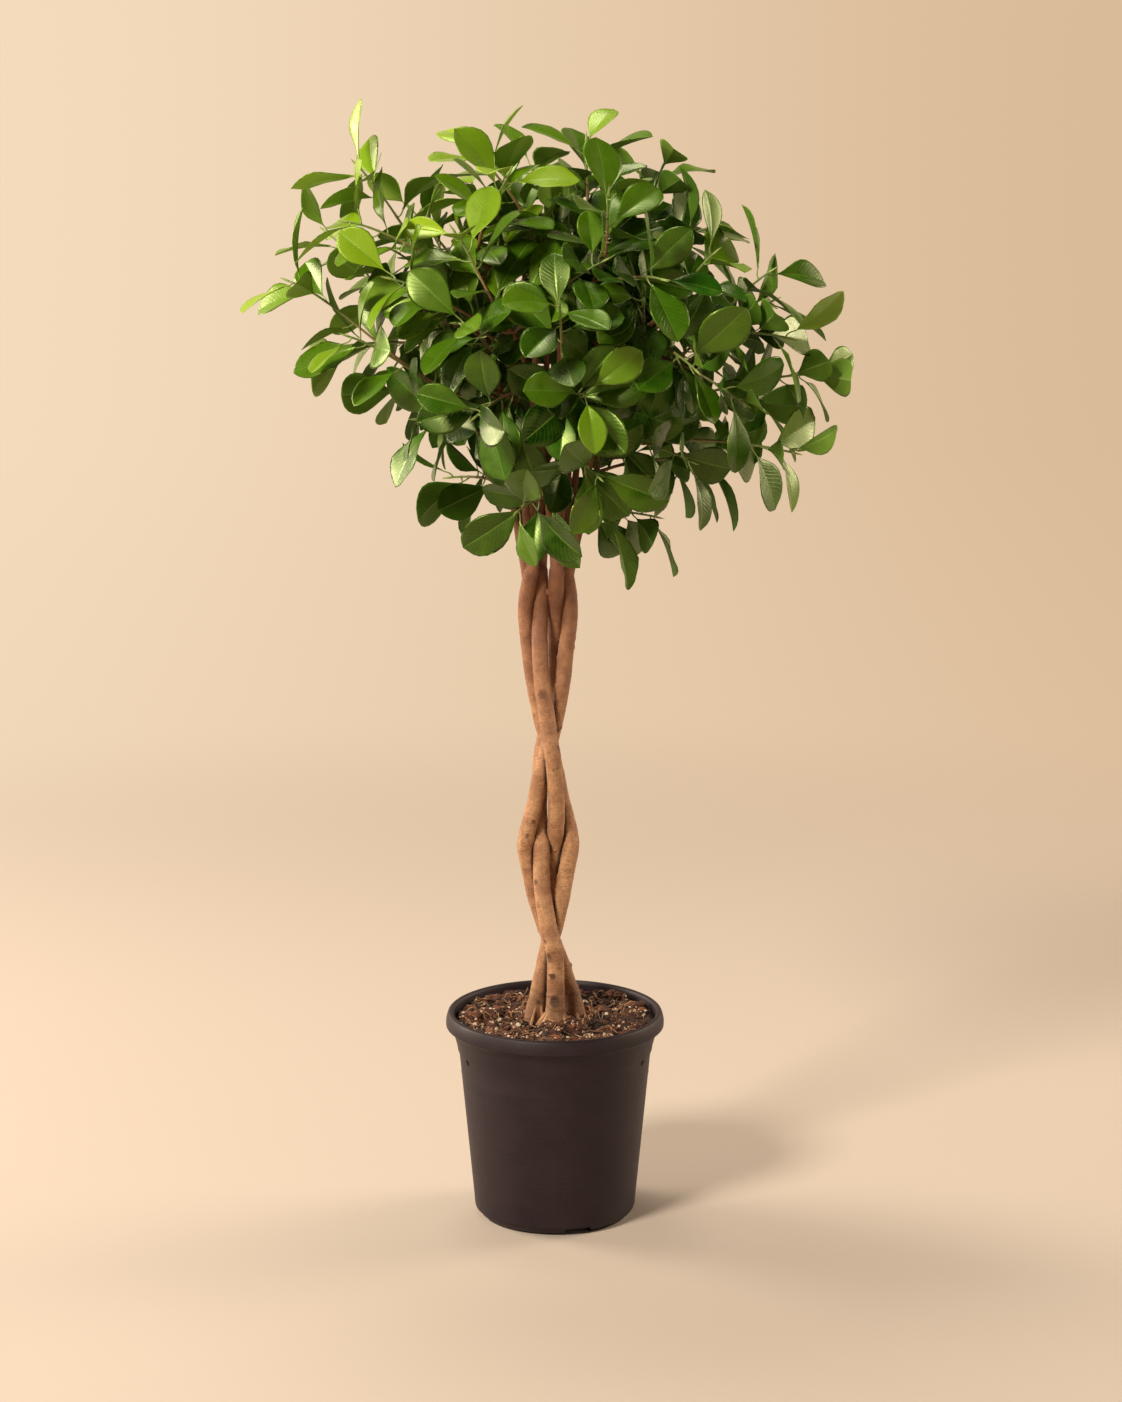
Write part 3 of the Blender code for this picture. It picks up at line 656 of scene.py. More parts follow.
# ---- materials -----------------------------------------------------------------------------------
class Paint:
    """A Principled material and short words for adding nodes to it."""

    def __init__(self, name, **values):
        self.made = bpy.data.materials.new(name)
        self.made.use_nodes = True
        self.nodes, self.links = self.made.node_tree.nodes, self.made.node_tree.links
        self.shader = self.nodes["Principled BSDF"]
        for socket, value in values.items():
            self.shader.inputs[socket.replace("_", " ")].default_value = value

    def node(self, kind, sockets, output=0, **settings):
        made = self.nodes.new("ShaderNode" + kind)
        for name, value in settings.items():
            setattr(made, name, value)
        for socket, value in sockets.items():
            if isinstance(value, bpy.types.NodeSocket):
                self.links.new(value, made.inputs[socket])
            else:
                made.inputs[socket].default_value = value
        return made.outputs[output]

    def object_place(self, scale=(1, 1, 1)):
        place = self.node("TexCoord", {}, "Object")
        return self.node("Mapping", {"Vector": place, "Scale": scale})

    def split(self, kind, socket):
        made = self.nodes.new("ShaderNodeSeparate" + kind)
        self.links.new(socket, made.inputs[0])
        return made.outputs

    def tone(self):
        """The tones of a point: youth, shade and share along."""
        return self.split("Color", self.node("Attribute", {}, "Color", attribute_name="tone"))

    def noise(self, place, scale, detail=3.0, roughness=0.5):
        sockets = {"Vector": place, "Scale": scale, "Detail": detail, "Roughness": roughness}
        return self.node("TexNoise", sockets, "Fac")

    def cells(self, place, scale):
        return self.node("TexVoronoi", {"Vector": place, "Scale": scale}, "Distance")

    def math(self, operation, a, b=0.5):
        return self.node("Math", {0: a, 1: b}, operation=operation)

    def times(self, a, b):
        return self.math("MULTIPLY", a, b)

    def plus(self, a, b):
        return self.math("ADD", a, b)

    def span(self, value, low, high, to_low=0.0, to_high=1.0):
        """value's way from low to high, as a smooth step between two amounts."""
        sockets = {"Value": value, "From Min": low, "From Max": high, "To Min": to_low, "To Max": to_high}
        return self.node("MapRange", sockets, interpolation_type="SMOOTHSTEP")

    def mix(self, share, a, b):
        a, b = [v if isinstance(v, bpy.types.NodeSocket) else (*v, 1) for v in (a, b)]
        return self.node("Mix", {0: share, 6: a, 7: b}, 2, data_type="RGBA")

    def coat(self, share, colour, over=None):
        """Covers a colour, or else the paint's colour so far, with a share of another."""
        self.colour = self.mix(share, over or self.colour, colour)
        self.links.new(self.colour, self.shader.inputs["Base Color"])

    def rough(self, value, low, high, smooth, dull):
        self.links.new(self.span(value, low, high, smooth, dull), self.shader.inputs["Roughness"])

    def bump(self, height, strength, distance):
        sockets = {"Height": height, "Strength": strength, "Distance": distance}
        normal = self.node("Bump", sockets, "Normal")
        self.links.new(normal, self.shader.inputs["Normal"])


def plastic_paint():
    """Charcoal moulded plastic: a soft mottle, fine specks and faint turned marks."""
    paint = Paint("charcoal_plastic", Specular_IOR_Level=0.30)
    place = paint.object_place()
    mottle = paint.noise(place, 26, 5, 0.65)
    grain = paint.noise(place, 900, 2)
    turned_marks = paint.noise(paint.object_place((0.4, 0.4, 60)), 9, 2)
    specks = paint.span(paint.cells(place, 260), 0.10, 0.05)
    few = paint.span(paint.noise(place, 60, 1), 0.60, 0.66)
    paint.coat(paint.span(mottle, 0.35, 0.68), (0.0208, 0.0111, 0.0152), over=(0.0142, 0.0073, 0.0110))
    paint.coat(paint.span(turned_marks, 0.5, 0.8, 0, 0.16), (0.046, 0.033, 0.038))
    paint.coat(paint.times(paint.times(specks, few), 0.5), (0.16, 0.14, 0.13))
    paint.rough(mottle, 0.2, 0.8, 0.46, 0.62)
    paint.bump(paint.plus(paint.times(grain, 0.5), mottle), 0.25, 0.0006)
    return paint.made


def soil_paint():
    """Moist bark and peat, reddish brown, with painted shade that makes it nearly black in the hollows."""
    paint = Paint("peat", Roughness=0.9)
    raised = paint.tone()[1]
    place = paint.object_place()
    coarse = paint.noise(place, 90, 6, 0.7)
    fine = paint.noise(place, 600, 5, 0.75)
    paint.coat(paint.span(coarse, 0.32, 0.68), (0.120, 0.036, 0.014), over=(0.0065, 0.0020, 0.0012))
    paint.coat(paint.span(fine, 0.5, 0.8, 0, 0.5), (0.30, 0.115, 0.048))
    # painted shade: the hollows of the relief are darkened towards black
    paint.coat(paint.span(raised, 0.70, 0.32), (0.0035, 0.0011, 0.0007))
    paint.rough(fine, 0.3, 0.7, 0.7, 0.98)
    paint.bump(fine, 0.8, 0.002)
    return paint.made


def litter_paint(name, roughness, streaks, dark, light, span, cover, bump):
    """Something loose in the soil: each piece has a colour of its own, partly covered in streaks or pits."""
    paint = Paint(name, Roughness=roughness)
    stretch, *grain = streaks
    marks = paint.noise(paint.object_place((1, 1, stretch)), *grain)
    # for the bark chips this tone also holds painted shade in the hollows; for perlite and fibres it is their
    # own colour
    paint.coat(paint.tone()[1], light, over=dark)
    paint.coat(paint.span(marks, *span), cover)
    paint.bump(marks, *bump)
    return paint.made


def chip_paint():
    """Shredded bark, streaked along its fibres."""
    brown, rust = (0.010, 0.0030, 0.0016), (0.26, 0.078, 0.026)
    streaks, span, pale = (3, 500, 4, 0.7), (0.45, 0.8, 0, 0.5), (0.40, 0.175, 0.080)
    return litter_paint("bark_chips", 0.85, streaks, brown, rust, span, pale, (0.7, 0.0012))


def perlite_paint():
    cream, white = (0.46, 0.26, 0.14), (0.92, 0.82, 0.66)
    pits, span, dirt = (1, 1300, 3, 0.6), (0.35, 0.6, 0.5, 0), (0.34, 0.22, 0.14)
    return litter_paint("perlite", 0.8, pits, cream, white, span, dirt, (0.8, 0.0008))


def fibre_paint():
    """Dry roots and coir."""
    brown, straw = (0.15, 0.050, 0.020), (0.66, 0.38, 0.19)
    wear, span, dirt = (1, 700, 3), (0.4, 0.75, 0, 0.6), (0.16, 0.08, 0.045)
    return litter_paint("dry_fibre", 0.8, wear, brown, straw, span, dirt, (0.5, 0.0006))


def bark_paint():
    """Tan bark, patchy and rusty, darker across its rings and dotted with pores; reddish in the head. Its shade
    tone also carries painted shade where stems meet and just above the soil.
    """
    paint = Paint("fig_bark", Roughness=0.72)
    youth, shade = paint.tone()[:2]
    place = paint.object_place()
    patches = paint.noise(place, 55, 5, 0.6)
    rust = paint.noise(place, 120, 4, 0.6)
    grain = paint.noise(paint.object_place((1, 1, 2)), 560, 3, 0.6)
    lines = paint.noise(paint.object_place((1, 1, 7)), 150, 4, 0.65)
    pores = paint.span(paint.cells(paint.object_place((1, 1, 2.4)), 330), 0.34, 0.16)
    spots = paint.span(paint.noise(place, 95, 2), 0.5, 0.62)
    young = paint.mix(paint.span(patches, 0.3, 0.7), (0.20, 0.075, 0.038), (0.34, 0.15, 0.072))
    paint.coat(paint.span(patches, 0.35, 0.68), (0.60, 0.330, 0.163), over=(0.335, 0.150, 0.068))
    paint.coat(paint.span(rust, 0.56, 0.76, 0, 0.75), (0.25, 0.095, 0.042))
    paint.coat(paint.span(grain, 0.46, 0.70, 0, 0.70), (0.22, 0.095, 0.045))
    paint.coat(paint.span(lines, 0.54, 0.74, 0, 0.7), (0.15, 0.070, 0.035))
    paint.coat(paint.times(pores, paint.span(spots, 0, 1, 0.1, 0.55)), (0.66, 0.48, 0.32))
    # the shade tone: dark rings and marks, and painted shade in the crevices between stems and at their foot
    paint.coat(paint.span(shade, 0.15, 0.9, 0, 0.85), (0.050, 0.019, 0.010))
    paint.coat(youth, young)
    paint.rough(patches, 0.3, 0.7, 0.62, 0.82)
    height = paint.plus(paint.times(lines, 0.8), paint.times(pores, 0.35))
    paint.bump(paint.plus(height, paint.times(grain, -0.4)), 0.7, 0.0014)
    return paint.made


def twig_paint():
    """Young twigs, leaf stalks and buds: green at the ends, brown where they leave the limbs."""
    paint = Paint("green_twig", Roughness=0.45)
    youth, shade = paint.tone()[:2]
    streaks = paint.noise(paint.object_place((1, 1, 0.3)), 420, 3)
    green = paint.mix(shade, (0.155, 0.225, 0.050), (0.34, 0.42, 0.11))
    paint.coat(streaks, (0.30, 0.145, 0.065), over=(0.17, 0.068, 0.030))
    paint.coat(youth, green)
    paint.bump(streaks, 0.3, 0.0004)
    return paint.made


# The two faces of a leaf: its greens from dark to light when old and when new, its ribs, its roughness from
# and to, how far its veins stand out, and its shine.
LeafFace = namedtuple("LeafFace", "name old new rib gloss veins shine")
UPPER = LeafFace("leaf_face", ((0.0026, 0.0205, 0.0007), (0.0200, 0.113, 0.0021)),
                 ((0.115, 0.25, 0.006), (0.26, 0.40, 0.010)), (0.12, 0.24, 0.025), (0.23, 0.36), 0.6, 0.66)
LOWER = LeafFace("leaf_underside", ((0.034, 0.105, 0.006), (0.075, 0.185, 0.012)),
                 ((0.24, 0.38, 0.05), (0.36, 0.52, 0.08)), (0.33, 0.43, 0.13), (0.46, 0.60), -0.5, 0.12)


def leaf_paint(face):
    """A fig leaf: pale midrib and margin, faint side veins; glossy above, paler and duller below.

    On the map, the first coordinate runs from base to tip and the second across, the midrib at a half.
    """
    paint = Paint(face.name, Specular_IOR_Level=face.shine, Specular_Tint=(0.80, 1.0, 0.34, 1.0))
    youth, shade = paint.tone()[:2]
    along, across = paint.split("XYZ", paint.node("UVMap", {}, uv_map="place"))[:2]
    off = paint.times(paint.math("ABSOLUTE", paint.math("SUBTRACT", across, 0.5)), 2.0)
    place = paint.object_place()
    cloud = paint.noise(place, 75, 4, 0.55)
    fleck = paint.noise(place, 1100, 2, 0.5)
    midrib = paint.span(off, 0.055, 0.015)
    slanted = paint.math("SUBTRACT", paint.times(along, 13.0), paint.times(off, 3.6))
    wave = paint.math("ABSOLUTE", paint.math("SUBTRACT", paint.math("FRACT", slanted), 0.5))
    veins = paint.times(paint.span(wave, 0.13, 0.0), paint.span(off, 0.98, 0.7))
    margin = paint.span(off, 0.955, 0.995)
    # the shade tone carries painted light and shade: darker deep in the head, lighter high up and on the sunny
    # side
    old, new = paint.mix(shade, *face.old), paint.mix(shade, *face.new)
    base = paint.mix(youth, old, new)
    paint.coat(paint.span(cloud, 0.4, 0.8, 0, 0.3), paint.mix(0.5, base, new), over=base)
    paint.coat(paint.times(veins, 0.20), face.rib)
    paint.coat(paint.times(midrib, 0.6), face.rib)
    paint.coat(paint.times(margin, 0.4), (0.20, 0.34, 0.045))
    paint.rough(cloud, 0.25, 0.75, *face.gloss)
    paint.bump(paint.plus(paint.times(veins, face.veins), paint.times(fleck, 0.06)), 0.25, 0.0004)
    return paint.made


# ---- the pot -------------------------------------------------------------------------------------
POT_TURNS = 192
NOTCH_SIZE = (0.020, 0.0245, 0.0134)  # inwards, along the foot, and up; the lower half hangs under the pot
LUG_TURNS = (-155, -25, 90)
LUG_PLACE = (0.0872, 0.1520)  # how far out and how high
# The sections of a lug, from its foot to its top: height from its middle, how far out, and half its breadth.
LUG_SECTIONS = ((-0.0036, -0.0010, 0.0010), (-0.0026, -0.0004, 0.0013), (0.0004, 0.0008, 0.0016),
                (0.0016, 0.0010, 0.0016), (0.0024, -0.0002, 0.0012))


def wall_radius(height):
    """Outside of the pot's tapered wall, under its neck."""
    low, high = (0.010, 0.0729), (0.150, 0.0862)
    return low[1] + (high[1] - low[1]) * (height - low[0]) / (high[0] - low[0])


def arc(centre, radius, first, last, count):
    """Points of a circle in the (radius, height) plane, between two angles in degrees."""
    angles = [math.radians(first + (last - first) * i / (count - 1)) for i in range(count)]
    return [(centre[0] + radius * math.cos(a), centre[1] + radius * math.sin(a)) for a in angles]


def pot_outline():
    """The pot's section, up the outside and down the inside, with every edge rounded as a moulding's is."""
    wall = [(wall_radius(z), z) for z in (0.0165, 0.040, 0.070, 0.100, 0.1285)]
    ridge = [(wall_radius(z) + h, z) for z, h in ((0.1322, 0), (0.1332, 0.00025), (0.1342, 0))]
    foot = arc((FOOT_RADIUS - 0.0009, 0.0009), 0.0009, -90, -20, 5)
    heel = arc((wall_radius(0.013) - 0.0087, 0.0102), 0.0086, -66, 5, 12)
    neck = [(wall_radius(0.1500), 0.1500), (0.0865, 0.1514), (0.0869, 0.1528)]
    neck += [(0.0877, 0.1546), (0.0880, 0.1560)]
    collar = [(0.0884, 0.1590), (0.0897, 0.1640), (0.0911, 0.1690), (0.0920, 0.1716)]
    under_lip = [(0.0926, 0.1731), (0.0940, 0.1748), (0.0954, 0.1760), (0.0966, 0.1766)]
    lip = arc((0.0974, 0.1776), 0.0009, -80, 0, 5) + [(0.0984, 0.1795), (0.0982, 0.1822), (0.0976, 0.1850)]
    roll = arc((0.0938, 0.1870), 0.0030, 18, 105, 10)
    mouth = [(0.0919, 0.1892), (0.0913, 0.1882), (0.0909, 0.1862), (0.0906, 0.1800), (0.0901, 0.1730)]
    inside = [(0.0864, 0.1565)] + [(wall_radius(z) - POT_WALL, z) for z in (0.148, 0.012)]
    floor = [(r, BASE_HEIGHT + POT_WALL) for r in (wall_radius(0.012) - 0.0057, 0.0005)]
    step = ((0.0056, BASE_HEIGHT), (0.0050, BASE_HEIGHT - 0.0008), (0.0037, 0.0006), (0.0030, 0.0))
    under = [(0.0005, BASE_HEIGHT)] + [(FOOT_RADIUS - inwards, z) for inwards, z in step]
    outside = foot + heel + wall + ridge + neck + collar + under_lip + lip + roll
    return under + outside + mouth + inside + floor


def cutter(name, bm):
    mesh = bpy.data.meshes.new(name)
    bmesh.ops.recalc_face_normals(bm, faces=bm.faces)
    bm.to_mesh(mesh)
    bm.free()
    return in_scene(name, mesh)


def notch_cutters():
    for i, turn in enumerate(turns_of(FOOT_NOTCHES)):
        bm = bmesh.new()
        bmesh.ops.create_cube(bm, size=1)
        bmesh.ops.transform(bm, matrix=Matrix.Diagonal((*NOTCH_SIZE, 1)), verts=bm.verts)
        inwards = [e for e in bm.edges if abs(e.verts[0].co.x - e.verts[1].co.x) > NOTCH_SIZE[0] / 2]
        bmesh.ops.bevel(bm, geom=inwards, offset=0.0012, segments=3, affect="EDGES")
        bmesh.ops.translate(bm, vec=(FOOT_RADIUS - 0.0005, 0, 0), verts=bm.verts)
        bmesh.ops.transform(bm, matrix=Matrix.Rotation(NOTCH_TURN + turn, 4, "Z"), verts=bm.verts)
        yield cutter(f"notch_{i}", bm)


def drain_cutters():
    for i, turn in enumerate(turns_of(DRAIN_HOLES)):
        bm = bmesh.new()
        size = {"radius1": DRAIN_RADIUS, "radius2": DRAIN_RADIUS, "depth": 0.02}
        bmesh.ops.create_cone(bm, cap_ends=True, segments=40, **size)
        bmesh.ops.translate(bm, vec=(*polar(DRAIN_CIRCLE, turn), BASE_HEIGHT), verts=bm.verts)
        yield cutter(f"drain_{i}", bm)


def cut_from(piece, cutters):
    """Cuts closed meshes out of a piece for good, and removes the cutters."""
    for tool in cutters:
        change = piece.modifiers.new(tool.name, "BOOLEAN")
        change.operation = "DIFFERENCE"
        change.solver = "EXACT"
        change.object = tool
    graph = bpy.context.evaluated_depsgraph_get()
    mesh = bpy.data.meshes.new_from_object(piece.evaluated_get(graph))
    piece.modifiers.clear()
    piece.data = mesh
    for tool in cutters:
        bpy.data.objects.remove(tool)


def make_pot(paint):
    """The nursery pot: a turned shell with drain holes and notches under its foot."""
    outline = pot_outline()
    skin = Skin()
    columns = len(outline)
    for k, turn in enumerate(turns_of(POT_TURNS)):
        skin.points += [Vector((*polar(r, turn), z)) for r, z in outline]
        skin.places += [(k / POT_TURNS, i / columns) for i in range(columns)]
        near, far = k * columns, (k + 1) % POT_TURNS * columns
        skin.faces += [(near + i, far + i, far + i + 1, near + i + 1) for i in range(columns - 1)]
    middle = [k * columns for k in range(POT_TURNS)]
    skin.faces += [tuple(reversed(middle)), tuple(k + columns - 1 for k in middle)]
    skin.tones = [(0, 0, 0)] * len(skin.points)
    skin.slots = [0] * len(skin.faces)
    pot = skin.piece("nursery_pot", [paint], "black_plastic", ["pot"])
    cut_from(pot, [*notch_cutters(), *drain_cutters()])
    pot.data.set_sharp_from_angle(angle=math.radians(50))


def make_lugs(paint):
    """Small lugs under the neck, on which stacked pots stand."""
    lugs = Skin()
    for turn in LUG_TURNS:
        out = Vector((*polar(1, math.radians(turn)), 0))
        side = Vector((-out.y, out.x, 0))
        rings = []
        for up, deep, wide in LUG_SECTIONS:
            middle = out * LUG_PLACE[0] + Vector((0, 0, LUG_PLACE[1])) + Vector((0, 0, up))
            corners = ((1, -0.001), (0.8, deep), (-0.8, deep), (-1, -0.001))
            rings.append([middle + side * wide * across + out * along for across, along in corners])
        lugs.sleeve(rings, (0, 0))
    lugs.piece("stacking_lugs", [paint], "black_plastic", sharp=40)


# ---- the potting soil ----------------------------------------------------------------------------
CLODS = 34
BIG_CLOD = (-0.060, 0.005, 0.007, 0.013)  # left of the stems
HEAP, HEAP_RADIUS = 0.0062, 0.083  # how much higher crumbs lie against the wall of the pot, and where
SOIL_REACH = 0.0893  # how far out the rough top goes
LITTER_LIMIT, FIBRE_LIMIT = 0.0865, 0.087  # how far out chips and perlite lie, and fibres reach
SOIL_CIRCLES, SOIL_SPOKES = 90, 200
CHIPS, GRAINS = 1300, 700  # of bark, and places where a grain of perlite may lie
FIBRES, FOOT_FIBRES = 230, 60  # over the soil, and round the foot of the stems
STEMS_EDGE, FOOT_EDGE = 0.016, 0.034  # how far out the stems stand, and the fibres round them lie


def soil_height(x, y):
    """Top of the soil: mounded round the stems, with small lumps."""
    r = math.hypot(x, y)
    lumps = noise.noise(Vector((x, y, 0)) * 55) + 0.5 * noise.noise(Vector((x, y, 1)) * 120)
    return SOIL_EDGE + SOIL_MOUND * bell(r, 0.040) + SOIL_RELIEF * lumps


def scatter_clods():
    """Clods and hollows of the surface: place, height above it, and breadth."""
    rng = random.Random("clods")
    clods = [BIG_CLOD]
    for _ in range(CLODS):
        place = polar(rng.uniform(0.026, 0.080), rng.uniform(0, math.tau))
        clods.append((*place, rng.uniform(-0.0065, 0.0050), rng.uniform(0.006, 0.014)))
    return clods


ALL_CLODS = scatter_clods()


def relief(x, y):
    """How much the clods, hollows and crumbs stand out of the soil's even top."""
    rise = 0.0040 * noise.noise(Vector((x, y, 3)) * 130) + 0.0016 * noise.noise(Vector((x, y, 5)) * 420)
    for cx, cy, height, breadth in ALL_CLODS:
        rise += height * math.exp(-((x - cx) ** 2 + (y - cy) ** 2) / breadth**2)
    return rise


def raised(x, y):
    """The same as a tone, for painted shade: dark in the hollows, light on the clods."""
    return clamp(0.5 + relief(x, y) / 0.011)


def rough_soil(x, y):
    """The soil as it looks close up."""
    r = math.hypot(x, y)
    uneven = 0.75 + 0.5 * noise.noise(Vector((x, y, 9)) * 40)
    heap = HEAP * bell(r - HEAP_RADIUS, 0.014) * uneven
    return soil_height(x, y) + heap + relief(x, y) - max(0, r - 0.080) * 0.2


def make_soil(paint):
    """The plug of soil: straight up the pot's wall, then in over its rough top."""
    rings = [upright(0.0655, BASE_HEIGHT + POT_WALL + GAP, SOIL_SPOKES)]
    rings += [upright(wall_radius(z) - POT_WALL - GAP * 2, z, SOIL_SPOKES) for z in (0.014, 0.148)]
    rings.append(upright(0.0874, 0.1655, SOIL_SPOKES))
    for i in range(SOIL_CIRCLES):
        r = SOIL_REACH * (1 - i / SOIL_CIRCLES)
        places = [polar(r, turn) for turn in turns_of(SOIL_SPOKES)]
        rings.append([Vector((*place, rough_soil(*place))) for place in places])
    skin = Skin()
    skin.sleeve(rings, (0, 0))
    # the bed's shade tone is painted shade, dark in the hollows and light on the clods
    skin.tones = [(0, raised(point.x, point.y), 0) for point in skin.points]
    skin.piece("soil_bed", [paint], "potting_soil", ["potting_soil"])


def soil_spot(rng, outer=LITTER_LIMIT):
    """A random place on the soil, outside the stems."""
    while True:
        r = outer * math.sqrt(rng.random())
        x, y = polar(r, rng.uniform(0, math.tau))
        if r > STEMS_EDGE:
            return Vector((x, y, rough_soil(x, y)))


def make_chips(paint):
    rng = random.Random("chips")
    chips = Skin()
    for _ in range(CHIPS):
        size = rng.uniform(0.0008, 0.0030) * (1.5 if rng.random() < 0.12 else 1)
        radii = [size * rng.uniform(*share) for share in ((0.9, 2.0), (0.5, 1.0), (0.25, 0.6))]
        turn = Matrix.Rotation(rng.uniform(0, 6.3), 3, "Z") @ Matrix.Rotation(rng.gauss(0, 0.5), 3, "X")
        spot = soil_spot(rng)
        # painted shade: chips in the hollows are darker, besides their own random tone
        light = rng.random() ** 1.3 * min(raised(spot.x, spot.y) * 2.0 - 0.60, 1.0)
        centre = spot + Vector((0, 0, radii[2] * 0.3))
        chips.blob(centre, radii, turn, 0.9, rng, (0, clamp(light)))
    chips.piece("bark_chips", [paint], "potting_soil")


def make_perlite(paint):
    """White grains: fewer in the hollows, behind the stems and on the left."""
    rng = random.Random("perlite")
    grains = Skin()
    for _ in range(GRAINS):
        size = rng.uniform(0.0005, 0.0013) * (1.6 if rng.random() < 0.12 else 1)
        radii = [size * rng.uniform(0.8, 1.25) for _ in range(3)]
        spot = soil_spot(rng)
        if rng.random() < 0.25 + 7 * spot.y - 3 * spot.x or raised(spot.x, spot.y) < rng.uniform(0.2, 0.5):
            continue
        centre = spot + Vector((0, 0, size * 0.45))
        grains.blob(centre, radii, Matrix.Rotation(rng.uniform(0, 6), 3, "Z"), 0.7, rng, (0, rng.random()))
    grains.piece("perlite", [paint], "potting_soil")


def make_fibres(paint):
    """Pale fibres and roots that lie in loose bows on the soil."""
    rng = random.Random("fibres")
    fibres = Skin()
    for number in range(FIBRES + FOOT_FIBRES):
        spot = soil_spot(rng) if number < FIBRES else soil_spot(rng, FOOT_EDGE)
        bearing = rng.uniform(0, math.tau)
        length = rng.uniform(0.008, 0.030)
        bend = rng.uniform(-2.4, 2.4)
        path = []
        for i in range(9):
            spot = spot + Vector((*polar(1, bearing + bend * i / 8), 0)) * length / 8
            if math.hypot(spot.x, spot.y) > FIBRE_LIMIT:
                break
            lift = 0.0004 + 0.0030 * math.sin(math.pi * i / 8) * abs(math.sin(bearing * 5))
            path.append(Vector((spot.x, spot.y, rough_soil(spot.x, spot.y) + lift)))
        if len(path) > 4:
            thick = rng.uniform(0.00018, 0.00045)
            radii = [thick * (1 - 0.5 * i / len(path)) for i in range(len(path))]
            hose(fibres, path, radii, 6, (0, rng.random()))
    fibres.piece("root_fibres", [paint], "potting_soil")


# ---- the stems -----------------------------------------------------------------------------------
STEM_TURNS = 36
STEM_STEPS = 320
TRUE_GIRTH = 1.16  # how much thicker a stem is than its slimmed solid
CREVICE = 0.0028  # how far out of a crevice between two stems the painted shade reaches
CREVICE_SHADE = 1.1
PAINTED_FOOT_SHADE, FOOT_SHADE_HEIGHT = 0.48, 0.042  # painted shade: how much darker the bark is just above the soil, and how far up
RINGS_FROM = 0.06  # how far above its end a stem's first ring is
RING_WIDTH = 0.0011
REDDENING = (0.43, 0.14)  # where the bark starts to turn reddish, and in what height
ROOTS = 5  # that show at the foot of each stem
ROOT_HEIGHT = 0.200  # where they leave it
RANDOM_MARKS = 26  # on each stem, besides those that stand out
RANDOM_KINDS = ("knot", "nick", "pore", "pore", "scar")

# The marks that stand out: height, bearing round the stem in degrees, kind, and breadth. The front is at -90.
MARKS = {
    "stem_1": [(0.485, -90, "scar", 0.0045)],
    "stem_2": [],
    "stem_3": [(0.205, -95, "scar", 0.0040), (0.575, -150, "stub", 0.0035)],
    "stem_4": [(0.345, -75, "knot", 0.0030)],
}

# How a mark of each kind stands out: its height as a share of its breadth, and how flat its top is. Then how
# dark it is, how much narrower the dark spot is, and how evenly dark.
MARK_KINDS = {
    "knot": (0.55, 2, 0.3, 3, 2),
    "scar": (-0.10, 2, 0.75, 1, 4),
    "nick": (-0.25, 2, 0.9, 1, 2),
    "pore": (0.30, 2, 1.0, 2.5, 2),
    "stub": (1.0, 4, 0.6, 1, 4),
}
SCAR_RIM = 0.16  # how high the rim round a scar is, as a share of the scar's breadth


def mark_lift(kind, breadth, near):
    """How far a mark raises the bark, near breadths away from its middle, and how dark it makes it."""
    high, flat, dark, narrow, even = MARK_KINDS[kind]
    if kind == "scar":
        rim = SCAR_RIM * bell(near - 1, 0.3)
        lift = breadth * (rim + high * math.exp(-(near**flat) * 2))
    else:
        lift = breadth * high * math.exp(-(near**flat))
    return lift, dark * math.exp(-(near**even) * narrow)


def stem_rings(rng, height):
    """The raised rings of a stem: height, how far they stand out, and which way and how much they slant."""
    found = []
    while height < STEM_TOP:
        height += rng.uniform(0.012, 0.034)
        found.append((height, rng.uniform(0.0001, 0.00035), rng.uniform(0, 6.3), rng.uniform(0.1, 0.5)))
    return found


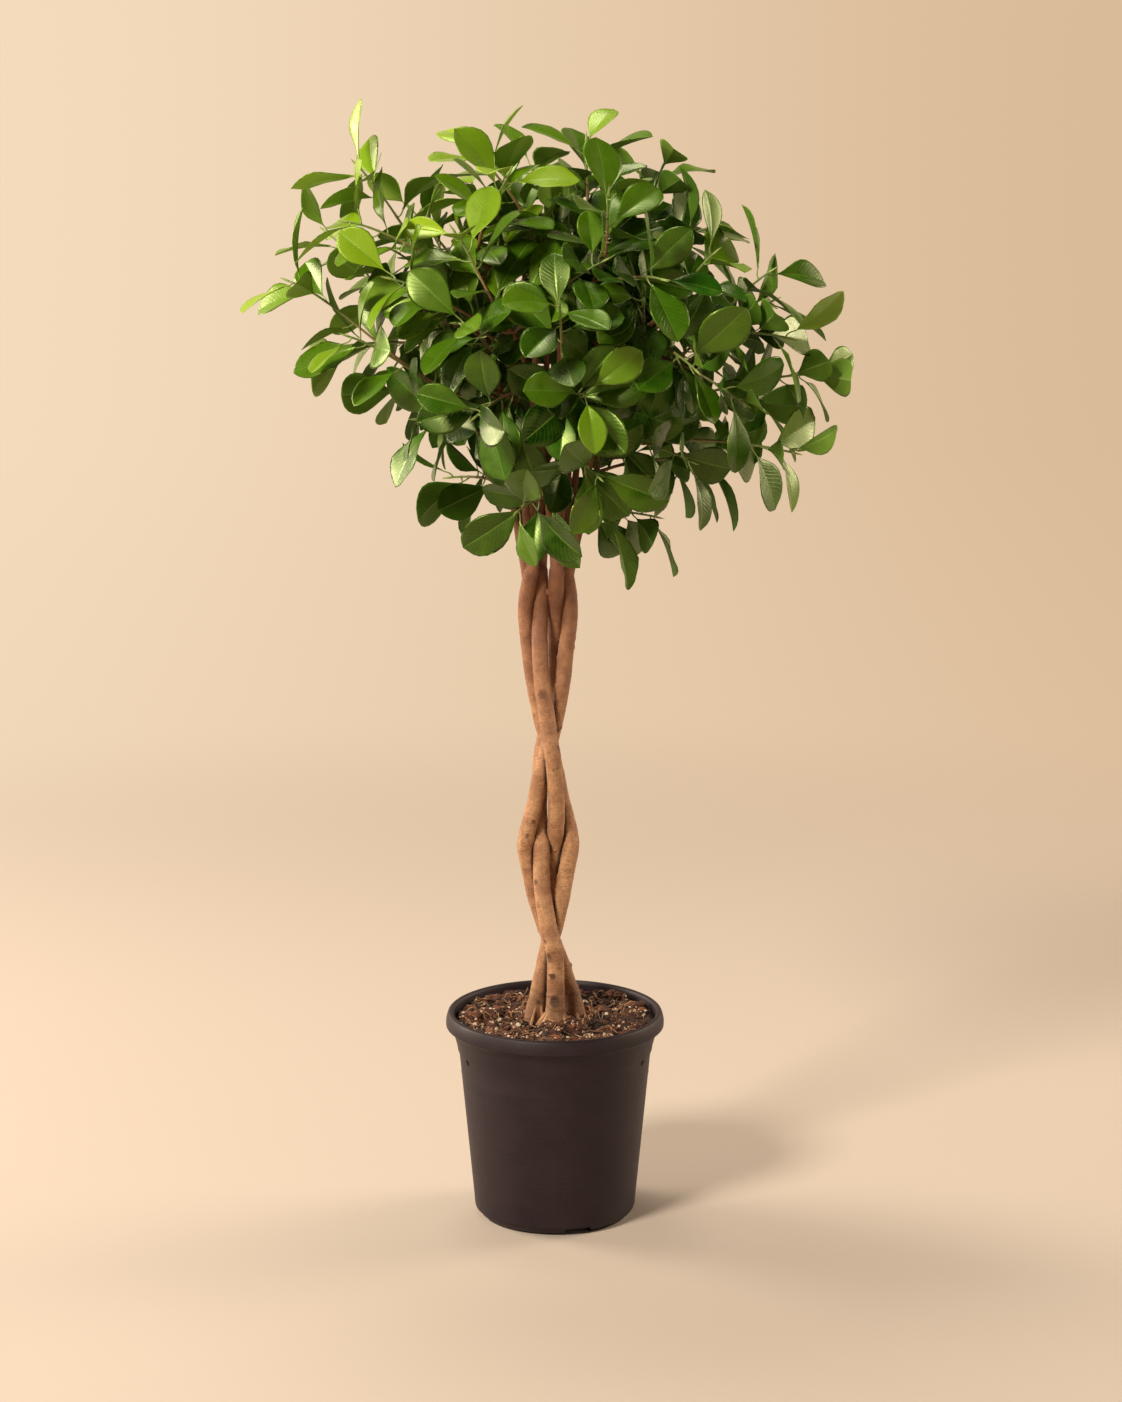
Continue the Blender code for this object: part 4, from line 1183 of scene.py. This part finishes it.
def stem_skin(name, stems, skin):
    """The bark of a stem, with its rings and marks, and painted shade where stems meet and just above the soil.
    """
    rng = random.Random(name)
    path = smooth_curve(stems[name], STEM_STEPS)
    others = [smooth_curve(route, STEM_STEPS) for other, route in stems.items() if other != name]
    bands = stem_rings(rng, path[0].z + RINGS_FROM)
    marks = list(MARKS[name])
    for _ in range(RANDOM_MARKS):
        kind = rng.choice(RANDOM_KINDS)
        marks.append((rng.uniform(0.20, 0.59), rng.uniform(-180, 180), kind, rng.uniform(0.0016, 0.0034)))
    seed = Vector((rng.uniform(0, 50), 0, 0))

    def bark_at(point, spoke, radius, beside):
        """A point of the bark and its shade."""
        bearing = math.atan2(spoke.y, spoke.x)
        spot = point + spoke * radius
        lift = 0.00055 * noise.noise(Vector((spot.x, spot.y, spot.z * 0.45)) * 95 + seed)
        lift += 0.00022 * noise.noise(Vector((spot.x, spot.y, spot.z * 1.5)) * 330)
        shade = 0.0
        for at, rise, turn, slant in bands:
            gap = (point.z - at + radius * slant * math.sin(bearing + turn)) / RING_WIDTH
            if abs(gap) < 3:
                lift += rise * bell(gap, 1)
                shade += 0.22 * bell(gap + 1, 0.8)
        for at, degrees, kind, breadth in marks:
            if abs(point.z - at) < breadth * 3:
                turn = (bearing - math.radians(degrees) + math.pi) % math.tau - math.pi
                above = (point.z - at) * (0.8 if kind == "scar" else 1.3)
                rise, darker = mark_lift(kind, breadth, math.hypot(turn * radius, above) / breadth)
                lift += rise
                shade += darker
        spot = point + spoke * (radius + lift)
        pinched = min((spot - middle).length for middle in beside) - radius
        # painted shade in the crevice where this stem presses on another
        shade += CREVICE_SHADE * bell(max(pinched, 0), CREVICE)
        # painted shade just above the soil
        shade += PAINTED_FOOT_SHADE * bell(point.z - POT_HEIGHT, FOOT_SHADE_HEIGHT)
        return spot, min(shade, 1)

    rings, tones = [], []
    for step, (point, (across, other)) in enumerate(zip(path, ring_frames(path))):
        radius = stem_radius(point.z) * TRUE_GIRTH
        beside = [places[step] for places in others]
        spokes = ring(Vector(), across, other, 1, STEM_TURNS)
        bark = [bark_at(point, spoke, radius, beside) for spoke in spokes]
        rings.append([spot for spot, _ in bark])
        young = clamp((bark[0][0].z - REDDENING[0]) / REDDENING[1])
        tones += [(young, shade, step / STEM_STEPS) for _, shade in bark]
    skin.sleeve(rings, (0, 0))
    skin.tones[-len(tones) :] = tones


def limb_skin(path, skin, rng):
    """A limb that swells where it leaves its stem and at the joints where leaves once grew."""
    steps, sides = 70, 12
    fine = smooth_curve(path, steps)
    joints = [rng.uniform(0.1, 0.95) for _ in range(7)]
    radii = []
    for i in range(steps):
        share = i / (steps - 1)
        swell = sum(0.07 * bell(share - joint, 0.012) for joint in joints)
        radii.append(limb_radius(share) * (1.02 + 0.55 * math.exp(-share / 0.07) + swell))
    rings = []
    for point, (across, other), radius in zip(fine, ring_frames(fine), radii):
        rings.append([
            point + spoke * radius * (1 + 0.10 * noise.noise(spoke * 1.5 + point * 80))
            for spoke in ring(Vector(), across, other, 1, sides)
        ])
    tip = (fine[-1] - fine[-2]).normalized()
    rings.append([point + (fine[-1] - point) * 0.5 + tip * radii[-1] * 0.6 for point in rings[-1]])
    skin.sleeve(rings, (1, 0))


def root_skin(route, skin, rng):
    """Roots that leave the foot of a stem and dive into the soil."""
    foot = min(route, key=lambda p: abs(p.z - ROOT_HEIGHT))
    away = math.atan2(foot.y, foot.x)
    for i in range(ROOTS):
        turn = away + (i / (ROOTS - 1) - 0.5) * 3.0 + rng.uniform(-0.2, 0.2)
        out = Vector((*polar(1, turn), 0))
        start = foot + out * stem_radius(foot.z) * 0.75
        end = start + out * rng.uniform(0.006, 0.013)
        end.z = soil_height(end.x, end.y) - 0.003
        middle = start.lerp(end, 0.5) + out * -0.002
        path = bezier(start, Vector((start.x, start.y, middle.z)), middle, end, 12)
        thick = rng.uniform(0.0012, 0.0022)
        hose(skin, path, [thick * (0.75 + 0.5 * i / 11) for i in range(12)], 10, (0, rng.uniform(0, 0.3)))


def make_stems(stems, limbs, paint):
    for name, route in stems.items():
        skin = Skin()
        stem_skin(name, stems, skin)
        root_skin(route, skin, random.Random("roots of " + name))
        rng = random.Random("limbs of " + name)
        for owner, path in limbs:
            if owner == name:
                limb_skin(path, skin, rng)
        skin.piece(f"bark_of_{name}", [paint], "bark", [name])


# ---- foliage -------------------------------------------------------------------------------------
BLADE_STEPS = 12
BLADE_SIDES = (-1, -0.86, -0.62, -0.36, -0.10, 0, 0.10, 0.36, 0.62, 0.86, 1)
BLADE_THICKNESS = 0.00042
EXTRA_LEAVES = 4  # on each shoot, further in than the solid's
INNER_SHOOTS = 76  # between the limbs and the shoots that the solids have
INNER_LEAVES = 6  # on each of them
INNER_REACH = (0.40, 0.88)  # how far out they end, as a share of the head's own reach
INNER_PIECES = 4
SUNNY_SIDE = Vector((-0.62, -0.15, 0.77))  # where most of the new growth is, and the side where leaves are painted lighter as if sunlit
THIN_PLACE, THIN_BREADTH = (256, -40), 34  # where few leaves hide the limbs: its way and size, in degrees
BARE_TWIGS = 10  # dry twigs without leaves, low in the head

Look = namedtuple("Look", "wide base_power tip_power cup ripple waves phase twist youth shade")


def look_of(key, youth, shade):
    """The features that make one leaf differ from another."""
    rng = random.Random(f"look {key}")
    return Look(
        wide=rng.uniform(0.56, 0.64),
        base_power=rng.uniform(0.82, 1.0),
        tip_power=rng.uniform(0.46, 0.60),
        cup=rng.uniform(-0.10, 0.16),
        ripple=rng.uniform(0.0, 0.030),
        waves=rng.uniform(1.2, 2.6),
        phase=rng.uniform(0, 6.3),
        twist=rng.uniform(-0.25, 0.25),
        youth=clamp(youth + rng.uniform(-0.06, 0.06)),
        shade=clamp(shade + rng.gauss(0, 0.27)),
    )


def blade_half_width(look, t):
    """Half the width at t of the length, as a share of the width: a wedge at the base, round at the tip."""
    power = math.log(0.5) / math.log(look.wide)
    turn = t * t * (3 - 2 * t)
    blunt = look.base_power * (1 - turn) + look.tip_power * turn
    return 0.5 * max(math.sin(math.pi * min(t, 1) ** power), 0) ** blunt


def blade_rings(leaf, look):
    """Rows of points across the blade from its base to its tip, with each point's place on the leaf."""
    base = leaf.root + leaf.direction * leaf.stalk
    rings, places = [], []
    for i in range(BLADE_STEPS + 1):
        t = (1 - math.cos(math.pi * i / BLADE_STEPS)) / 2
        across, ahead, raised = blade_axes(leaf, t)
        across = Matrix.Rotation(look.twist * (t - 0.3), 3, leaf.direction) @ across
        middle = base + ahead * leaf.length * (t if i < BLADE_STEPS else 1.02)
        half = max(blade_half_width(look, t) * leaf.width, 0.0005 if i < BLADE_STEPS else 0.0002)
        top, under = [], []
        for side in BLADE_SIDES:
            away = abs(side)
            swing = math.sin(look.waves * math.tau * t + look.phase + side)
            wave = look.ripple * leaf.width * away**3 * swing
            lift = half * away * (math.sin(leaf.fold) - look.cup * (away - 1)) + wave
            spot = middle + across * half * side * math.cos(leaf.fold) + raised * lift
            place = (t, 0.5 + side / 2)
            groove = bell(away, 0.08) * (1 - t) * 0.0003
            thick = BLADE_THICKNESS / 2 * (1 - away**6)
            top.append((spot + raised * (thick - groove), place))
            if away < 1:
                under.append((spot - raised * (thick + groove * 2), place))
        whole = top + under[::-1]
        rings.append([spot for spot, _ in whole])
        places.append([place for _, place in whole])
    return rings, places


def add_leaf(skin, leaf, look):
    """One leaf: its blade, and a stalk that bends into the midrib."""
    rings, places = blade_rings(leaf, look)
    tops = len(BLADE_SIDES) - 1
    slots = [0] * tops + [1] * (len(rings[0]) - tops)
    skin.sleeve(rings, (look.youth, look.shade), places, slots)
    start = leaf.root - leaf.around * 0.0006
    end = leaf.root + leaf.direction * (leaf.stalk + 0.0015) - leaf.normal * 0.0002
    pull = (end - start).length
    path = bezier(start, start + leaf.around * pull * 0.45, end - leaf.direction * pull * 0.35, end, 9)
    thick = 0.0010 if pull > 0.02 else 0.00075
    radii = [thick * 1.25, thick, thick * 0.95, thick * 0.9, thick * 0.85, 0.00062, 0.0006, 0.00056, 0.00036]
    # the stalk takes its leaf's shade tone, painted light and shade included
    hose(skin, path, radii, 7, (1, look.shade), slot=2)


def leaf_youth(shoot, number):
    """Young leaves end the shoots: one or two on some, more where a spray outgrows the head, and more on the
    sunny side, partly as painted light shining through them.
    """
    tip = in_head(shoot.path[-1])
    spray = clamp((tip.length - 1.08) / 0.25)
    vigour = random.Random(f"vigour {shoot.number}").random()
    # painted light: on the sunny side leaves are made younger, a lighter yellow-green, partly as real new
    # growth and partly as light shining through them
    sunny = max(tip.normalized().dot(SUNNY_SIDE), 0) ** 2.4
    flush = max(spray * (0.5 + 0.4 * (tip.x < 0)), sunny, 0.75 * (vigour > 0.84), 0.25 * (vigour > 0.5))
    age = random.Random(f"age {shoot.number}/{number}").random()
    return flush * max(1 - number / 3.8, 0) + 0.12 * age + 0.38 * sunny


def shoot_skin(shoot, skin):
    """The twig of a shoot, thickened at its joints, with a long pointed bud at its end."""
    steps, sides = 44, 8
    fine = evenly(shoot.path, steps)
    radii = []
    for i in range(steps):
        share = i / (steps - 1)
        swell = sum(0.22 * bell(share - leaf.seat, 0.018) for leaf in shoot.leaves)
        radii.append(twig_radius(share) * (1.0 + 0.5 * math.exp(-share / 0.04) + swell))
    first = len(skin.points)
    hose(skin, fine, radii, sides, (0, 0.3), slot=2)
    for i in range(steps):
        young = clamp((i / steps - 0.35) / 0.5)
        for k in range(sides):
            skin.tones[first + i * sides + k] = (young, 0.15, i / steps)
    way = (fine[-1] - fine[-3]).normalized()
    bud = [fine[-1] + way * d for d in (-0.001, 0.001, 0.004, 0.007, 0.0095)]
    hose(skin, bud, [0.0009, 0.0011, 0.0009, 0.0005, 0.0001], 8, (1, 0.9), slot=2)


def extra_leaves(shoots, placed):
    """More leaves on each shoot, below those that the solids have."""
    for number in range(LEAVES_PER_SHOOT, LEAVES_PER_SHOOT + EXTRA_LEAVES):
        for shoot in shoots:
            lowest = 1 - leaf_distance(shoot, LEAVES_PER_SHOOT - 1)
            step = number - LEAVES_PER_SHOOT + 1
            grow_leaf(shoot, lowest * (1 - step / (EXTRA_LEAVES + 1.5)), number, placed, 8)


def inner_shoots(limbs, placed, first):
    """Leafy twigs that fill the head inside the outer shoots."""
    rng = random.Random("inner shoots")
    tips = []
    for way in spiral_ways(INNER_SHOOTS, 1):
        reach = head_reach(way) * rng.uniform(*INNER_REACH)
        if way.angle(compass(*THIN_PLACE)) > math.radians(THIN_BREADTH):
            tips.append(on_head(way, reach))
    shoots = place_twigs(limbs, placed, tips, first, SEAT_SPACING * 0.4)
    place_leaves(shoots, placed, INNER_LEAVES, 7)
    return shoots


def make_bare_twigs(limbs, placed, first, paint):
    """Dry twigs that have lost their leaves, low in the head."""
    rng = random.Random("bare twigs")
    ways = [compass(rng.uniform(0, 360), rng.uniform(-55, -20)) for _ in range(BARE_TWIGS)]
    tips = [on_head(way, rng.uniform(0.6, 0.9)) for way in ways]
    skin = Skin()
    for shoot in place_twigs(limbs, placed, tips, first, SEAT_SPACING * 0.4):
        fine = evenly(shoot.path, 30)
        crooked = [p + noise.noise_vector(p * 60) * 0.002 * min(i / 8, 1) for i, p in enumerate(fine)]
        hose(skin, crooked, [twig_radius(i / 29) * 0.7 for i in range(30)], 8, (0, 0))
    skin.piece("bare_twigs", [paint], "bark")


def leaf_light_and_shade(place):
    """How light the green of a leaf is, as painted light and shade: deep inside the head the least, partly as
    older leaves and partly as painted shade; higher up and on its sunny side lighter, as painted light.
    """
    away = in_head(place)
    sunny = max(away.normalized().dot(SUNNY_SIDE), 0) ** 2
    return 0.02 + 0.38 * min(away.length, 1.1) + 0.10 * away.z + 0.36 * sunny * away.length


def make_foliage(name, shoots, paints, nodes=()):
    """One piece of foliage: twigs with their leaves."""
    skin = Skin()
    for shoot in shoots:
        shoot_skin(shoot, skin)
        for number, leaf in enumerate(shoot.leaves):
            key = f"{shoot.number}/{number}"
            add_leaf(skin, leaf, look_of(key, leaf_youth(shoot, number), leaf_light_and_shade(leaf.root)))
    skin.piece(name, paints, "leaf", nodes)


# ---- camera, light and floor ---------------------------------------------------------------------
STAGE_RADIUS, STAGE_BEND, STAGE_HEIGHT = 5.4, 0.8, 4.2
STAGE_FADE = (0.8, 2.1)  # how far out the lit floor gives way to the glowing colour
STAGE_SIDES = (-1.4, 1.4)  # from left to right, its colour changes: painted light, lighter on the left as if lit from there and darker on the right
STAGE_LIT_LEFT, STAGE_SHADED_RIGHT = (0.90, 0.71, 0.505), (0.70, 0.495, 0.315)
STAGE_COLOUR = (0.550, 0.470, 0.400, 1)  # where it is lit
STAGE_TURNS, BEND_STEPS = 96, 16

# The lamps: place, what each points at, size, power and colour.
LAMPS = {
    "key": ((-1.9, -2.3, 2.7), (0, 0, 0.6), 1.0, 154, (1.0, 0.91, 0.77)),
    "fill": ((2.4, -1.8, 1.3), (0, 0, 0.5), 1.8, 3, (1.0, 0.90, 0.76)),
    "top": ((-0.3, 0.7, 2.9), (0, 0, 0.8), 1.0, 30, (1.0, 0.92, 0.78)),
    "left_edge": ((-2.3, 0.9, 1.1), (0, 0, 0.3), 1.3, 62, (1.0, 0.86, 0.70)),
    "right_edge": ((2.3, 0.9, 1.2), (0, 0, 0.2), 1.3, 44, (1.0, 0.84, 0.68)),
}
SKY_COLOUR, SKY_STRENGTH = (1.0, 0.86, 0.68, 1), 0.010

CAMERA_PLACE = (0, -3.2, 1.18)
CAMERA_DIP = 12.42  # degrees that it looks down
CAMERA_LENS, CAMERA_SENSOR = 94.93, 36  # millimetres
CAMERA_SHIFT = 0.0043


def make_stage():
    """A pale floor that turns up all round into a wall, outside the camera on every side.

    Near the plant it is lit by the lamps and keeps the shadow. Further out it is seen as a glow with painted
    light: lighter on the left, darker on the right.
    """
    paint = Paint("stage", Roughness=0.9, Specular_IOR_Level=0.1, Base_Color=STAGE_COLOUR)
    place = paint.object_place()
    away = paint.node("VectorMath", {0: place}, "Value", operation="LENGTH")
    # painted light: the glow is lighter on the left and darker on the right
    pale = paint.mix(paint.span(paint.split("XYZ", place)[0], *STAGE_SIDES), STAGE_LIT_LEFT, STAGE_SHADED_RIGHT)
    path = paint.nodes.new("ShaderNodeLightPath").outputs
    shiny = paint.math("MAXIMUM", path["Is Glossy Ray"], path["Is Transmission Ray"])
    seen = paint.math("MAXIMUM", path["Is Camera Ray"], shiny)
    glow = paint.node("Emission", {"Color": pale}, "Emission")
    far = paint.times(paint.span(away, *STAGE_FADE), seen)
    both = paint.node("MixShader", {0: far, 1: paint.shader.outputs[0], 2: glow}, "Shader")
    paint.links.new(both, paint.nodes["Material Output"].inputs["Surface"])
    paint.made.cycles.emission_sampling = "NONE"
    flat = STAGE_RADIUS - STAGE_BEND
    profile = [(0.001, 0), (flat * 0.3, 0), (flat, 0)]
    for i in range(1, BEND_STEPS + 1):
        turn = math.pi / 2 * i / BEND_STEPS
        profile.append((flat + STAGE_BEND * math.sin(turn), STAGE_BEND * (1 - math.cos(turn))))
    profile.append((STAGE_RADIUS, STAGE_HEIGHT))
    bm = bmesh.new()
    rows = [[bm.verts.new(point) for point in upright(r, z, STAGE_TURNS)] for r, z in profile]
    bm.faces.new(rows[0])
    for low, high in zip(rows, rows[1:]):
        for k in range(STAGE_TURNS):
            after = (k + 1) % STAGE_TURNS
            bm.faces.new((low[k], high[k], high[after], low[after])).smooth = True
    mesh = bpy.data.meshes.new("floor")
    bm.to_mesh(mesh)
    bm.free()
    mesh.materials.append(paint.made)
    floor = in_scene("floor", mesh)


def make_light():
    for name, (place, aim, size, power, colour) in LAMPS.items():
        light = bpy.data.lights.new(name, "AREA")
        light.shape, light.size, light.energy, light.color = "DISK", size, power, colour
        made = in_scene(name, light)
        made.location = place
        made.rotation_euler = (Vector(aim) - Vector(place)).to_track_quat("-Z", "Y").to_euler()
    world = bpy.data.worlds.new("studio")
    world.use_nodes = True
    sockets = world.node_tree.nodes["Background"].inputs
    sockets["Color"].default_value, sockets["Strength"].default_value = SKY_COLOUR, SKY_STRENGTH
    bpy.context.scene.world = world


def make_camera():
    camera = bpy.data.cameras.new("camera")
    camera.sensor_fit = "VERTICAL"
    camera.sensor_height, camera.lens, camera.shift_x = CAMERA_SENSOR, CAMERA_LENS, CAMERA_SHIFT
    made = in_scene("camera", camera)
    made.location = CAMERA_PLACE
    made.rotation_euler = (math.radians(90 - CAMERA_DIP), 0, 0)
    bpy.context.scene.camera = made


# ---- all of it -----------------------------------------------------------------------------------
def main():
    make_camera()
    make_light()
    make_stage()
    bark = bark_paint()
    leaves = [leaf_paint(UPPER), leaf_paint(LOWER), twig_paint()]
    plastic = plastic_paint()
    make_pot(plastic)
    make_lugs(plastic)
    make_soil(soil_paint())
    make_chips(chip_paint())
    make_perlite(perlite_paint())
    make_fibres(fibre_paint())
    stems = stem_paths()
    limbs = limb_paths(stems)
    make_stems(stems, limbs, bark)
    bodies = [(route, [stem_radius(p.z) for p in route], STEM_SIDES) for route in stems.values()]
    bodies += [(path, limb_radii(len(path)), LIMB_SIDES) for _, path in limbs]
    placed = [solid_tree(tube(*body)) for body in bodies]
    shoots = place_twigs(limbs, placed, shoot_tips())
    place_leaves(shoots, placed, LEAVES_PER_SHOOT, 10)
    extra_leaves(shoots, placed)
    inner = inner_shoots(limbs, placed, len(shoots))
    make_bare_twigs(limbs, placed, len(shoots) + INNER_SHOOTS, leaves[2])
    for number, shoot in enumerate(shoots, 1):
        make_foliage(f"foliage_{number:02d}", [shoot], leaves, [f"leafy_shoot_{number:02d}"])
    for part in range(INNER_PIECES):
        make_foliage(f"inner_foliage_{part + 1}", inner[part::INNER_PIECES], leaves)


main()
bpy.context.scene.view_settings.view_transform = "Standard"
